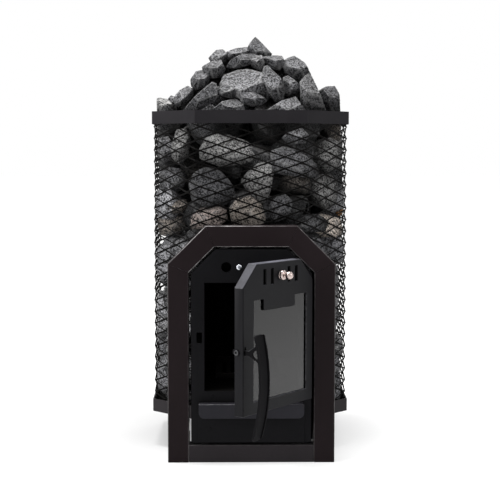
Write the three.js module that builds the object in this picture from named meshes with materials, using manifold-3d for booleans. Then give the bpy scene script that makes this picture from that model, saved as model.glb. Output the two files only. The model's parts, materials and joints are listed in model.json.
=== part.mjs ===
// Wood-burning sauna stove: a steel firebox inside an octagonal expanded-metal cage packed with stones,
// with a fire door, an ash drawer and a freestanding portal frame in front.
// Millimetres, +Z up, the front faces -Y, origin on the floor under the middle of the portal's bottom rail.

import * as THREE from "three";
import { mergeGeometries, mergeVertices } from "three/addons/utils/BufferGeometryUtils.js";
import { ConvexGeometry } from "three/addons/geometries/ConvexGeometry.js";
import Module from "manifold-3d";

// Fits shared by every piece
const seat = 0.3; // gap between a piece and the seat that carries it
const running = 0.2; // radial clearance of a pivot in its hole
const slotGap = 2; // clearance on each side of a piece that moves in a slot
const overrun = 5; // how far a cutting shape passes the face it cuts
const roundSides = 16; // facets of a turned piece
const arcSteps = 6; // facets of a rounded corner
const bendSteps = 3; // facets across a bent edge
const beadSteps = 8; // facets along a bead or a dome

// Portal frame
const portalWidth = 406;
const portalHeight = 578;
const portalFace = 51; // visible width of each member
const portalDepth = 45;
const portalChamfer = 92; // leg of the two 45 degree shoulders
const portalSheet = 2.5;
const portalSeam = 0.5; // open seam between two members
const bottomRailHeight = 43;

// Front plate at the mouth of the fuel tunnel
const plateGap = 5.5; // gap to the portal's opening at the sides and the top
const plateFoot = 5; // gap above the portal's bottom rail
const plateRecess = 3; // behind the portal's face
const plateSheet = 3;
const plateFlange = 25; // depth of the folded rim
const plateRound = 3; // bend radius of the rim
const mouthWidth = 228;
const mouthDrop = 81.5; // top of the plate to the top of the mouth
const sillHeight = 27; // top of the drawer to the bottom of the mouth
const damperHoleRadius = 12.5;
const damperHoleX = -61;
const plateHoleDrop = 43.5; // top of the plate to the damper hole and the screw beside it
const strikeHalfHeight = 13;

// Button-head screws in the plate: radii and lengths
const plateScrew = { shank: 4, head: 7, height: 4.4, rim: 1.4, socket: 2.9, socketDepth: 2.4 };
const sillScrew = { shank: 2.5, head: 4.5, height: 0.7, rim: 0.3, socket: 1.8, socketDepth: 0.4 };
const plateScrewX = -30;
const sillScrewDrop = 12; // bottom of the mouth to the lower screw
const sillScrewInset = 17.5; // side of the ash box to the lower screw
const screwLength = 5; // behind the plate

// Door, measured closed
const doorWidth = 279;
const doorOffset = 2.5; // middle of the door to the right of the mouth's middle
const doorDrop = 18.5; // top of the plate to the top of the door
const doorLap = 15; // below the bottom of the mouth
const doorThickness = 24;
const doorChamfer = 51;
const doorSheet = 2.5;
const doorRound = 3;
const doorStandoff = 3; // flange to front plate when closed
const doorOpenAngle = 52.5; // degrees, as it stands
const pivotFromEdge = 7;
const pivotFromFace = 10;
const windowWidth = 212;
const windowShift = 7; // middle of the window from the middle of the door, towards the hinges
const windowRise = 29; // bottom of the door to the window
const windowDrop = 82; // top of the door to the window
const windowReveal = 4.2; // depth of the collar round the window
const tabWidth = 124.5;
const tabShift = 1.3; // middle of the tab from the middle of the door
const tabDrop = 26.5;
const tabRound = 6;
const ventWidth = 12;
const ventHeight = 37;
const ventDrop = 32; // top of the door to the middle of the vents
const ventShift = 6.2; // knob and vents from the middle of the door, towards the hinges
const ventInner = 33.4; // distance of each pair of vents from the knob
const ventOuter = 63.2;
const glassThickness = 4;
const glassLap = 8;
const linerSheet = 2;
const linerInset = 16; // door edge to liner edge
const sealWidth = 9;
const sealProud = 2; // stands past the door's flange
const sealLap = 6; // top of the mouth to the seal
const sealCorner = 20;

// Hinges
const hingePinRadius = 3.5;
const hingeLugThickness = 6;
const hingeLugRadius = 5.2;
const hingeKnuckleHeight = 22;
const lowerHingeRise = 47; // bottom of the door to the lower lug
const upperHingeDrop = 108; // top of the door to the upper lug

// Air shutter and knob
const shutterThickness = 2;
const shutterTravel = 13;
const shutterMargin = 5; // round the vents
const knobStemRadius = 3;
const knobBaseRadius = 12;
const knobBaseLength = 13;
const knobBallRadius = 10;

// Latch lever and handle
const leverThickness = 4;
const leverFromEdge = 8; // free edge of the door to the middle of the lever
const leverRise = 146; // bottom of the door to the lever's pivot
const leverPivotFromBack = 7; // in front of the back of the door's flange
const leverHubRadius = 8;
const leverNeckHeight = 11;
const forkLow = 26; // reach of the lever's fork below its pivot
const forkHigh = 24; // reach above
const forkSteps = 4;
const forkHoleHeight = 24;
const forkHoleDepth = 18;
const tongueHalf = 5; // half the height of the tongue
const tongueGrab = 4; // reach of the tongue behind the front plate
const boltRadius = 4;
const boltHeadRadius = 6.5;
const boltHeadHeight = 4;
const boltSocketRadius = 2.6;
const boltSocketDepth = 2.7;
const rollerRadius = 5;
const rollerLength = 5;
const gripLength = 240;
const gripTopAbovePivot = 44;
const gripWidth = 34;
const gripThickness = 3;
const gripLip = 3; // turned-up edge
const gripBow = 18.3;
const gripLean = 3.7; // head of the grip stands further out by this, and its foot less far
const gripStandoff = 51.4; // door's outer face to the middle of the grip
const gripFootRound = 12;
const gripHeadRound = 5;
const gripSteps = 14;

// Ash box and drawer
const ashBoxSheet = 2;
const ashBoxHalfWidth = 113; // inside
const ashBoxRise = 2; // bottom of the front plate to the bottom of the box
const drawerHalf = 129.5;
const drawerHeight = 100; // bottom of the front plate to the top of the drawer's front
const drawerFoot = 1.5; // bottom of the front plate to the bottom of the drawer's front
const drawerSheet = 2.5;
const trayDrop = 10; // top of the drawer's front to the top of the tray
const trayGap = 3; // tray to the sides of the box and to the top of the way in
const traySheet = 1.5;
const trayLength = 430;
const lipReach = 23;
const lipDrop = 35;
const lipRound = 14;
const lipSheet = 2.5;
const lipInset = 2; // each end of the lip inside the front panel

// Firebox
const fireboxWidth = 300;
const fireboxDepth = 390;
const fireboxTop = 640;
const fireboxWall = 8;
const fireFloor = 5;
const tunnelWall = 5;
const grateWidth = 180;
const grateLength = 280;
const grateThickness = 12;
const grateLap = 12;
const grateSlots = 7;
const baffleDrop = 100; // firebox roof to the baffle
const baffleThickness = 10;
const baffleGap = 90; // open way for the flames in front of the baffle
const flueBore = 115;
const flueWall = 4;
const flueRise = 67; // rim of the cage to the end of the flue collar
const flueFlange = 14;
const flueFromRear = 135; // rear wall of the firebox to the flue's axis

// Cage
const cageWidth = 500;
const cageChamfer = 111;
const cageBehindPortal = 75; // portal face to cage face
const bandHeight = 32;
const bandSheet = 3;
const bottomBandZ = 90;
const rimTop = 858;
const panSheet = 4;
const panRise = 4; // bottom of the lower band to the bottom of the pan
const netSheet = 2;
const netGap = 0.4; // between two panels at a corner
const netLong = 140; // long way of one diamond
const netShort = 64; // short way of one diamond
const netStrand = 5;
const netMargin = 6;

// Legs and the stays that hold the portal to them
const legSize = 40;
const legSheet = 3;
const footSize = 60;
const footSheet = 4;
const frontLegInset = 12.4; // angled side of the cage to the leg, along the cage's depth
const rearLegInset = 16.5;
const rearLegFromSide = 55; // side of the cage to the middle of the leg
const stayThickness = 4;
const stayBottom = 10;
const stayTop = 38;

// Stones
const packedStones = { size: 165, pitch: 118 }; // mean length, and spacing at which neighbours touch
const heapStones = { size: 118, pitch: 84 };
const heapSink = 30; // the heap's lowest stones reach this far below the rim
const stonePoints = 10; // corners of one stone
const stoneJitter = 0.16; // shift of a stone, as a share of the spacing
const stoneLeast = 0.9; // nearest corner of a stone, as a share of its reach
const stoneRough = 0.25; // how much further the other corners may stand
const stoneClear = 0.6; // pile to steel
const heapHeight = 195; // peak above the rim
const pileReach = 1.09; // half width of the front and rear piles, for each unit to a corner of the cage

// Places that follow from the sizes above
const miter = 2 - Math.SQRT2; // how much a 45 degree shoulder shortens for each unit of inset
const portalHalf = portalWidth / 2;
const portalInner = portalHalf - portalFace;
const portalFront = -portalDepth / 2;
const portalBack = portalDepth / 2;
const plateFront = portalFront + plateRecess;
const plateBack = plateFront + plateSheet;
const plateHalf = portalInner - plateGap;
const plateTop = portalHeight - portalFace - plateGap;
const plateBottom = bottomRailHeight + plateFoot;
const plateChamfer = portalChamfer - (portalFace + plateGap) * miter;
const plateHoleZ = plateTop - plateHoleDrop;
const drawerTop = plateBottom + drawerHeight;
const trayTop = drawerTop - trayDrop;
const ashBoxBottom = plateBottom + ashBoxRise;
const ashBoxOuter = ashBoxHalfWidth + ashBoxSheet;
const sillScrewX = sillScrewInset - ashBoxHalfWidth;
const mouthHalf = mouthWidth / 2;
const mouthBottom = drawerTop + sillHeight;
const mouthTop = plateTop - mouthDrop;
const doorBottom = mouthBottom - doorLap;
const doorTop = plateTop - doorDrop;
const doorFace = plateFront - doorStandoff - doorThickness;
const hingeEdgeX = doorWidth / 2 + doorOffset;
const pivotX = hingeEdgeX - pivotFromEdge;
const pivotY = doorFace + pivotFromFace;
const hingeHeights = [doorBottom + lowerHingeRise, doorTop - upperHingeDrop];
const windowBottom = doorBottom + windowRise;
const windowTop = doorTop - windowDrop;
const ventCentreZ = doorTop - ventDrop;
const leverX = hingeEdgeX - doorWidth + leverFromEdge; // door closed
const leverPivotZ = doorBottom + leverRise;
const leverPivotDepth = doorThickness - leverPivotFromBack;
const tongueReach = doorThickness + doorStandoff + plateSheet + tongueGrab;
const gripTop = leverPivotZ + gripTopAbovePivot;
const gripBottom = gripTop - gripLength;
const gripMiddleZ = (gripTop + gripBottom) / 2;
const cageFront = portalFront + cageBehindPortal;
const cageRear = cageFront + cageWidth;
const cageMiddle = (cageFront + cageRear) / 2;
const cageHalf = cageWidth / 2;
const facetHalf = cageHalf - cageChamfer; // half the width of a square side of the cage
const rimBottom = rimTop - bandHeight;
const panZ = bottomBandZ + panRise;
const panTop = panZ + panSheet;
const fireboxFront = cageMiddle - fireboxDepth / 2;
const fireboxRear = cageMiddle + fireboxDepth / 2;
const fireboxHalf = fireboxWidth / 2;
const fireboxInner = fireboxHalf - fireboxWall;
const fireFloorZ = mouthBottom - fireFloor;
const baffleZ = fireboxTop - baffleDrop;
const tunnelHalf = mouthHalf + tunnelWall;
const tunnelTop = mouthTop + tunnelWall;
const ashBoxTop = fireFloorZ - seat;
const ashBoxRear = fireboxRear - fireboxWall - seat;
const flueTop = rimTop + flueRise;
const flueY = fireboxRear - flueFromRear;
const flueRadius = flueBore / 2 + flueWall;
const netFace = bandSheet + seat; // inset of the net's outer face from the bands' outer face
const pileInset = netFace + netSheet + stoneClear;

// Places in the door, measured from its hinge pivot while it is closed
const face = -pivotFromFace;
const back = face + doorThickness;
const hingeEdge = pivotFromEdge;
const freeEdge = pivotFromEdge - doorWidth;
const doorMiddle = (hingeEdge + freeEdge) / 2;
const windowLeft = doorMiddle + windowShift - windowWidth / 2;
const windowRight = windowLeft + windowWidth;
const knobX = doorMiddle + ventShift;
const glassFront = face + windowReveal + seat;
const linerFront = glassFront + glassThickness + seat;
const linerBack = linerFront + linerSheet;
const linerBottom = doorBottom + doorSheet + seat;
const ventPlaces = [-ventOuter, -ventInner, ventInner, ventOuter].map((offset) => knobX + offset);
const hubY = face + leverPivotDepth;

// Finishes, one material for each piece
const blackPaint = { color: 0x1b1a1c, roughness: 0.55, metalness: 0.3 };
const portalPaint = { color: 0x2a2627, roughness: 0.6, metalness: 0.3 };
const netSteel = { color: 0x161617, roughness: 0.5, metalness: 0.5 };
const fireSteel = { color: 0x2b2c2e, roughness: 0.7, metalness: 0.6 };
const castIron = { color: 0x242322, roughness: 0.8, metalness: 0.5 };
const brightSteel = { color: 0xc9c6c2, roughness: 0.25, metalness: 1 };
const polishedKnob = { color: 0xd8c3b8, roughness: 0.12, metalness: 1 };
const smokedGlass = { color: 0x6d6c70, roughness: 0.08, metalness: 0 };
const ropeSeal = { color: 0x3a3a3c, roughness: 0.95, metalness: 0 };
const greyStone = { color: 0x7a7a78, roughness: 0.9, metalness: 0 };

const wasm = await Module();
wasm.setup();

// A three.js geometry as a closed solid
function solid(geometry) {
  const bare = geometry.clone();
  bare.deleteAttribute("normal");
  bare.deleteAttribute("uv");
  const merged = mergeVertices(bare, 1e-4);
  const corners = [];
  const index = merged.index.array;
  for (let i = 0; i < index.length; i += 3) {
    const [a, b, c] = [index[i], index[i + 1], index[i + 2]];
    if (a !== b && b !== c && c !== a) {
      corners.push(a, b, c);
    }
  }
  return new wasm.Manifold(new wasm.Mesh({
    numProp: 3,
    vertProperties: new Float32Array(merged.attributes.position.array),
    triVerts: new Uint32Array(corners),
  }));
}

// Adds a solid to a group as a named mesh with its own material
function addPiece(group, name, body, finish) {
  const data = body.getMesh();
  const geometry = new THREE.BufferGeometry();
  geometry.setAttribute("position", new THREE.BufferAttribute(data.vertProperties, 3));
  geometry.setIndex(new THREE.BufferAttribute(data.triVerts, 1));
  geometry.computeVertexNormals();
  const mesh = new THREE.Mesh(geometry, new THREE.MeshStandardMaterial({ ...finish, flatShading: true }));
  mesh.name = name;
  group.add(mesh);
  return mesh;
}

function block(x0, x1, y0, y1, z0, z1) {
  const geometry = new THREE.BoxGeometry(x1 - x0, y1 - y0, z1 - z0);
  geometry.translate((x0 + x1) / 2, (y0 + y1) / 2, (z0 + z1) / 2);
  return solid(geometry);
}

function polygon(corners) {
  return new THREE.Shape(corners.map(([u, v]) => new THREE.Vector2(u, v)));
}

function disc(u, v, radius) {
  const shape = new THREE.Shape();
  shape.absarc(u, v, radius, 0, Math.PI * 2, false);
  return shape;
}

// Rectangle whose chosen corners are rounded: radii run from the lower left round to the upper left
function rounded(u0, u1, v0, v1, radii) {
  const [lowLeft, lowRight, highRight, highLeft] = radii;
  const shape = new THREE.Shape();
  shape.moveTo(u0 + lowLeft, v0);
  shape.lineTo(u1 - lowRight, v0);
  shape.absarc(u1 - lowRight, v0 + lowRight, lowRight, -Math.PI / 2, 0, false);
  shape.absarc(u1 - highRight, v1 - highRight, highRight, 0, Math.PI / 2, false);
  shape.absarc(u0 + highLeft, v1 - highLeft, highLeft, Math.PI / 2, Math.PI, false);
  shape.absarc(u0 + lowLeft, v0 + lowLeft, lowLeft, Math.PI, Math.PI * 1.5, false);
  return shape;
}

const axisX = new THREE.Vector3(1, 0, 0);
const axisY = new THREE.Vector3(0, 1, 0);
const axisZ = new THREE.Vector3(0, 0, 1);
const facingFront = new THREE.Matrix4().makeBasis(axisX, axisZ, axisY.clone().negate());
const facingBack = new THREE.Matrix4().makeBasis(axisX, axisY.clone().negate(), axisZ.clone().negate());

function extruded(shape, length) {
  return new THREE.ExtrudeGeometry(shape, { depth: length, bevelEnabled: false, curveSegments: arcSteps });
}

// Outline in x and z, from y0 back to y1
function slabXZ(shape, y0, y1) {
  const geometry = extruded(shape, y1 - y0);
  geometry.applyMatrix4(facingFront);
  geometry.translate(0, y1, 0);
  return solid(geometry);
}

// Outline in x and y, from z0 up to z1
function slabXY(shape, z0, z1) {
  const geometry = extruded(shape, z1 - z0);
  geometry.translate(0, 0, z0);
  return solid(geometry);
}

// Outline in y and z, from x0 across to x1
function slabYZ(shape, x0, x1) {
  const geometry = extruded(shape, x1 - x0);
  geometry.applyMatrix4(new THREE.Matrix4().makeBasis(axisY, axisZ, axisX));
  geometry.translate(x0, 0, 0);
  return solid(geometry);
}

// Folded sheet front: an outline in x and z whose front edge is a bend of the given radius
function bentFront(shape, y0, y1, radius) {
  const geometry = new THREE.ExtrudeGeometry(shape, {
    depth: y1 - y0,
    bevelThickness: radius,
    bevelSize: radius,
    bevelOffset: -radius,
    bevelSegments: bendSteps,
    curveSegments: arcSteps,
  });
  geometry.applyMatrix4(facingFront);
  geometry.translate(0, y1 + radius, 0);
  geometry.computeBoundingBox();
  const { min, max } = geometry.boundingBox;
  const kept = block(min.x - overrun, max.x + overrun, y0 - overrun, y1, min.z - overrun, max.z + overrun);
  return solid(geometry).intersect(kept);
}

// Round bars and holes along each axis
function barX(y, z, radius, x0, x1) {
  return slabYZ(disc(y, z, radius), x0, x1);
}

function barY(x, z, radius, y0, y1) {
  return slabXZ(disc(x, z, radius), y0, y1);
}

function barZ(x, y, radius, z0, z1) {
  return slabXY(disc(x, y, radius), z0, z1);
}

// Turned piece about an axis along y: the profile gives radius and y
function turnedY(profile, x, z) {
  const points = profile.map(([radius, y]) => new THREE.Vector2(radius, -y));
  const geometry = new THREE.LatheGeometry(points, roundSides);
  geometry.applyMatrix4(facingBack);
  geometry.translate(x, 0, z);
  return solid(geometry);
}

// Turned piece about an axis along z: the profile gives radius and z
function turnedZ(profile, x, y) {
  const points = profile.map(([radius, z]) => new THREE.Vector2(radius, z));
  const geometry = new THREE.LatheGeometry(points, roundSides);
  geometry.applyMatrix4(facingFront);
  geometry.translate(x, y, 0);
  return solid(geometry);
}

// Outline with two 45 degree shoulders, as x and z from the left foot round to the right foot
function shoulders(left, right, bottom, top, chamfer, inset = 0) {
  const cut = chamfer - inset * miter;
  const [l, r, t] = [left + inset, right - inset, top - inset];
  return [[l, bottom], [l, t - cut], [l + cut, t], [r - cut, t], [r, t - cut], [r, bottom]];
}

const stove = new THREE.Group();

// Portal frame: five mitred channel members and a bottom rail, open at the back
function portalLine(inset) {
  return shoulders(-portalHalf, portalHalf, 0, portalHeight, portalChamfer, inset);
}

function memberShape(lineA, lineB, i, startTrim, endTrim) {
  const along = new THREE.Vector2(lineA[i + 1][0] - lineA[i][0], lineA[i + 1][1] - lineA[i][1]).normalize();
  const moved = ([u, v], by) => [u + along.x * by, v + along.y * by];
  return polygon([
    moved(lineA[i], startTrim),
    moved(lineA[i + 1], -endTrim),
    moved(lineB[i + 1], -endTrim),
    moved(lineB[i], startTrim),
  ]);
}

function addPortal(group) {
  const names = ["left_post", "left_mitre", "top_rail", "right_mitre", "right_post"];
  const outer = portalLine(0);
  const inner = portalLine(portalFace);
  const pocketOuter = portalLine(portalSheet);
  const pocketInner = portalLine(portalFace - portalSheet);
  names.forEach((name, i) => {
    const startTrim = i === 0 ? 0 : portalSeam / 2;
    const endTrim = i === names.length - 1 ? 0 : portalSeam / 2;
    const bar = slabXZ(memberShape(outer, inner, i, startTrim, endTrim), portalFront, portalBack);
    const pocketShape = memberShape(pocketOuter, pocketInner, i, -overrun, -overrun);
    const pocket = slabXZ(pocketShape, portalFront + portalSheet, portalBack + overrun);
    addPiece(group, `portal_${name}`, bar.subtract(pocket), portalPaint);
  });
  const railHalf = portalInner - portalSeam;
  const rail = block(-railHalf, railHalf, portalFront, portalBack, 0, bottomRailHeight);
  const railPocket = block(
    -railHalf - overrun, railHalf + overrun,
    portalFront + portalSheet, portalBack + overrun,
    portalSheet, bottomRailHeight - portalSheet,
  );
  addPiece(group, "portal_bottom_rail", rail.subtract(railPocket), portalPaint);
}

addPortal(stove);

// Front plate: a folded tray with the fire mouth, the drawer's way in, a damper hole and a slot for the latch
function addFront(group) {
  const before = plateFront - overrun;
  const behind = plateFront + plateFlange + overrun;
  const outline = polygon(shoulders(-plateHalf, plateHalf, plateBottom, plateTop, plateChamfer));
  const pocketFoot = plateBottom + plateSheet;
  const pocketLine = shoulders(-plateHalf, plateHalf, pocketFoot, plateTop, plateChamfer, plateSheet);
  const boxHalf = ashBoxOuter + seat;
  const strikeLeft = leverX - leverThickness / 2 - slotGap;
  const strikeRight = leverX + leverThickness / 2 + rollerLength + slotGap;
  const [strikeLow, strikeHigh] = [leverPivotZ - strikeHalfHeight, leverPivotZ + strikeHalfHeight];
  const cuts = [
    slabXZ(polygon(pocketLine), plateBack, behind),
    block(-mouthHalf, mouthHalf, before, behind, mouthBottom, mouthTop),
    block(-ashBoxHalfWidth, ashBoxHalfWidth, before, behind, plateBottom - overrun, trayTop + trayGap),
    block(-boxHalf, boxHalf, plateBack, behind, plateBottom - overrun, trayTop),
    barY(damperHoleX, plateHoleZ, damperHoleRadius, before, behind),
    barY(plateScrewX, plateHoleZ, plateScrew.shank + running, before, behind),
    barY(sillScrewX, mouthBottom - sillScrewDrop, sillScrew.shank + running, before, behind),
    block(strikeLeft, strikeRight, before, behind, strikeLow, strikeHigh),
  ];
  const folded = bentFront(outline, plateFront, plateFront + plateFlange, plateRound);
  addPiece(group, "front_plate", cuts.reduce((plate, cut) => plate.subtract(cut), folded), blackPaint);
  addPiece(group, "plate_screw", buttonScrew(plateScrew, plateScrewX, plateHoleZ), brightSteel);
  addPiece(group, "sill_screw", buttonScrew(sillScrew, sillScrewX, mouthBottom - sillScrewDrop), blackPaint);

  const tunnelBottom = mouthBottom - tunnelWall;
  const tunnel = block(-tunnelHalf, tunnelHalf, plateBack, fireboxFront, tunnelBottom, tunnelTop);
  const [wayFront, wayRear] = [plateBack - overrun, fireboxFront + overrun];
  const way = block(-mouthHalf, mouthHalf, wayFront, wayRear, mouthBottom, mouthTop);
  addPiece(group, "fuel_tunnel", tunnel.subtract(way), fireSteel);
}

// Screw with a domed head and a round socket, through the front plate
function buttonScrew({ shank, head, height, rim, socket, socketDepth }, x, z) {
  const tip = plateBack + screwLength;
  const underHead = plateFront - seat / 2;
  const dome = Array.from({ length: beadSteps / 2 + 1 }, (_, i) => {
    const turn = (i / beadSteps) * Math.PI;
    const radius = socket + (head - socket) * Math.cos(turn);
    return [radius, plateFront - rim - (height - rim) * Math.sin(turn)];
  });
  const socketFloor = plateFront - height + socketDepth;
  return turnedY([
    [0, tip], [shank, tip], [shank, underHead], [head, underHead],
    ...dome, [socket, socketFloor], [0, socketFloor],
  ], x, z);
}

addFront(stove);

// Firebox: plates round the fire chamber, a grate, a baffle and the flue collar
function addFirebox(group) {
  for (const [name, side] of [["left", -1], ["right", 1]]) {
    const [x0, x1] = side < 0 ? [-fireboxHalf, -fireboxInner] : [fireboxInner, fireboxHalf];
    const wall = block(x0, x1, fireboxFront, fireboxRear, panTop, fireboxTop);
    addPiece(group, `firebox_${name}_wall`, wall, fireSteel);
  }
  const inner = fireboxInner - seat;
  const rearInner = fireboxRear - fireboxWall;
  const rear = block(-inner, inner, rearInner, fireboxRear, panTop, fireboxTop);
  addPiece(group, "firebox_rear_wall", rear, fireSteel);
  const front = block(-inner, inner, fireboxFront, fireboxFront + fireboxWall, mouthBottom, fireboxTop);
  const mouth = block(
    -mouthHalf, mouthHalf, fireboxFront - overrun, fireboxFront + fireboxWall + overrun,
    mouthBottom - overrun, mouthTop,
  );
  addPiece(group, "firebox_front_wall", front.subtract(mouth), fireSteel);

  const roofTop = fireboxTop + fireboxWall;
  const roof = block(-fireboxHalf, fireboxHalf, fireboxFront, fireboxRear, fireboxTop, roofTop);
  const flueHole = barZ(0, flueY, flueBore / 2, fireboxTop - overrun, roofTop + overrun);
  addPiece(group, "firebox_roof", roof.subtract(flueHole), fireSteel);

  const floor = block(-inner, inner, fireboxFront, rearInner - seat, fireFloorZ, mouthBottom);
  const grateHalf = grateWidth / 2;
  const grateHole = block(
    -grateHalf + grateLap, grateHalf - grateLap,
    cageMiddle - grateLength / 2 + grateLap, cageMiddle + grateLength / 2 - grateLap,
    fireFloorZ - overrun, mouthBottom + overrun,
  );
  addPiece(group, "firebox_floor", floor.subtract(grateHole), fireSteel);

  let grate = block(
    -grateHalf, grateHalf, cageMiddle - grateLength / 2, cageMiddle + grateLength / 2,
    mouthBottom, mouthBottom + grateThickness,
  );
  const slotPitch = (grateWidth - 2 * grateLap) / grateSlots;
  for (let i = 0; i < grateSlots; i += 1) {
    const x = -grateHalf + grateLap + (i + 0.5) * slotPitch;
    const slot = block(
      x - slotPitch / 4, x + slotPitch / 4,
      cageMiddle - grateLength / 2 + 2 * grateLap, cageMiddle + grateLength / 2 - 2 * grateLap,
      mouthBottom - overrun, mouthBottom + grateThickness + overrun,
    );
    grate = grate.subtract(slot);
  }
  addPiece(group, "fire_grate", grate, castIron);

  const baffleFront = fireboxFront + fireboxWall + baffleGap;
  const baffle = block(-inner, inner, baffleFront, rearInner - seat, baffleZ, baffleZ + baffleThickness);
  addPiece(group, "flame_baffle", baffle, castIron);

  const flangeTop = roofTop + flueWall;
  const collar = turnedZ([
    [flueBore / 2, roofTop], [flueRadius + flueFlange, roofTop],
    [flueRadius + flueFlange, flangeTop], [flueRadius, flangeTop],
    [flueRadius, flueTop], [flueBore / 2, flueTop], [flueBore / 2, roofTop],
  ], 0, flueY);
  addPiece(group, "flue_collar", collar, fireSteel);
}

addFirebox(stove);

// Ash box under the grate and the drawer that slides in it, with its front laid over the front plate
function addAshBox(group) {
  const box = block(-ashBoxOuter, ashBoxOuter, plateBack, ashBoxRear, ashBoxBottom, ashBoxTop);
  const inside = block(
    -ashBoxHalfWidth, ashBoxHalfWidth, plateBack - overrun, ashBoxRear - ashBoxSheet,
    ashBoxBottom + ashBoxSheet, ashBoxTop + overrun,
  );
  addPiece(group, "ash_box", box.subtract(inside), fireSteel);

  const panelBack = plateFront - seat;
  const panelFront = panelBack - drawerSheet;
  const panel = block(-drawerHalf, drawerHalf, panelFront, panelBack, plateBottom + drawerFoot, drawerTop);
  addPiece(group, "ash_drawer_front", panel, blackPaint);

  const trayHalf = ashBoxHalfWidth - trayGap;
  const trayBottom = ashBoxBottom + ashBoxSheet + seat;
  const trayRear = panelBack + trayLength;
  const tray = block(-trayHalf, trayHalf, panelBack, trayRear, trayBottom, trayTop);
  const trayInside = block(
    -trayHalf + traySheet, trayHalf - traySheet, panelBack + traySheet, trayRear - traySheet,
    trayBottom + traySheet, trayTop + overrun,
  );
  addPiece(group, "ash_drawer_tray", tray.subtract(trayInside), fireSteel);

  const lipHalf = drawerHalf - lipInset;
  const lipFront = panelFront - lipReach;
  const corners = [lipRound, lipRound, lipSheet, lipSheet];
  const apronShape = rounded(-lipHalf, lipHalf, drawerTop - lipDrop, drawerTop, corners);
  const apron = slabXZ(apronShape, lipFront, lipFront + lipSheet);
  const shelf = block(-lipHalf, lipHalf, lipFront, panelFront, drawerTop - lipSheet, drawerTop);
  addPiece(group, "ash_drawer_grip", shelf.add(apron), blackPaint);
}

addAshBox(stove);

// Hinge lugs on the front plate, each with its upright pin
function addHingeLugs(group) {
  const names = ["hinge_lug_lower", "hinge_lug_upper"];
  hingeHeights.forEach((z, i) => {
    const arm = block(
      pivotX - hingeLugRadius, pivotX + hingeLugRadius, pivotY, plateFront, z, z + hingeLugThickness,
    );
    const eye = barZ(pivotX, pivotY, hingeLugRadius, z, z + hingeLugThickness);
    const pin = barZ(pivotX, pivotY, hingePinRadius, z, z + hingeLugThickness + hingeKnuckleHeight);
    addPiece(group, names[i], arm.add(eye).add(pin), brightSteel);
  });
}

addHingeLugs(stove);

// Door, built closed about the hinge pivot and then turned to its open angle
function ventSlots(y0, y1) {
  const slots = ventPlaces.map((x) => block(
    x - ventWidth / 2, x + ventWidth / 2, y0, y1, ventCentreZ - ventHeight / 2, ventCentreZ + ventHeight / 2,
  ));
  return slots.reduce((all, slot) => all.add(slot));
}

function doorPanel() {
  const outline = polygon(shoulders(freeEdge, hingeEdge, doorBottom, doorTop, doorChamfer));
  const insideLine = shoulders(freeEdge, hingeEdge, doorBottom + doorSheet, doorTop, doorChamfer, doorSheet);
  const inside = slabXZ(polygon(insideLine), face + doorSheet, back + overrun);
  const collar = block(
    windowLeft - doorSheet, windowRight + doorSheet, face + doorSheet / 2, face + windowReveal,
    windowBottom - doorSheet, windowTop + doorSheet,
  );
  const opening = block(windowLeft, windowRight, face - overrun, back + overrun, windowBottom, windowTop);
  const tabMiddle = doorMiddle + tabShift;
  const tabShape = rounded(
    tabMiddle - tabWidth / 2, tabMiddle + tabWidth / 2, windowTop - tabDrop, windowTop + doorSheet,
    [tabRound, tabRound, doorSheet / 2, doorSheet / 2],
  );
  const tab = slabXZ(tabShape, face, face + doorSheet);
  const [before, behind] = [face - overrun, face + doorSheet + overrun];
  const stemWay = knobStemRadius + slotGap / 2;
  const knobSlot = block(
    knobX - stemWay, knobX + stemWay + shutterTravel, before, behind,
    ventCentreZ - stemWay, ventCentreZ + stemWay,
  );
  const neckX = freeEdge + leverFromEdge;
  const neckWay = leverThickness / 2 + slotGap / 2;
  const neckSlot = block(
    neckX - neckWay, neckX + neckWay, before, behind,
    leverPivotZ - leverNeckHeight / 2 - slotGap, leverPivotZ + leverNeckHeight + slotGap,
  );
  const flangeInside = freeEdge + doorSheet + overrun;
  const boltHole = barX(hubY, leverPivotZ, boltRadius + running, freeEdge - overrun, flangeInside);
  const folded = bentFront(outline, face, back, doorRound).subtract(inside);
  let panel = folded.add(collar).subtract(opening).add(tab).subtract(ventSlots(before, behind));
  panel = panel.subtract(knobSlot).subtract(neckSlot).subtract(boltHole);
  for (const z of hingeHeights) {
    const lugWay = block(
      hingeEdge - doorSheet - overrun, hingeEdge + overrun, face + doorSheet, back + overrun,
      z - slotGap, z + hingeLugThickness + slotGap,
    );
    const knuckleBottom = z + hingeLugThickness + seat;
    const knuckle = block(
      -hingeLugRadius, hingeLugRadius, face + doorSheet / 2, hingeLugRadius,
      knuckleBottom, knuckleBottom + hingeKnuckleHeight - 2 * seat,
    );
    const pinHole = barZ(0, 0, hingePinRadius + running, z, knuckleBottom + hingeKnuckleHeight + overrun);
    panel = panel.subtract(lugWay).add(knuckle).subtract(pinHole);
  }
  return panel;
}

// Profile of one round bead of the knob, swelling from the stem to a radius and back
function bead(y0, y1, radius) {
  return Array.from({ length: beadSteps + 1 }, (_, i) => {
    const turn = (i / beadSteps) * Math.PI;
    const swell = (radius - knobStemRadius) * Math.sin(turn);
    return [knobStemRadius + swell, y0 + ((y1 - y0) * (1 - Math.cos(turn))) / 2];
  });
}

function airKnob() {
  const stemStart = face + doorSheet + seat;
  const baseStart = face - seat;
  const baseEnd = baseStart - knobBaseLength;
  const ballEnd = baseEnd - 2 * knobBallRadius;
  return turnedY([
    [0, stemStart], [knobStemRadius, stemStart],
    ...bead(baseStart, baseEnd, knobBaseRadius),
    ...bead(baseEnd, ballEnd, knobBallRadius).slice(1, -1),
    [0, ballEnd],
  ], knobX, ventCentreZ);
}

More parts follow.
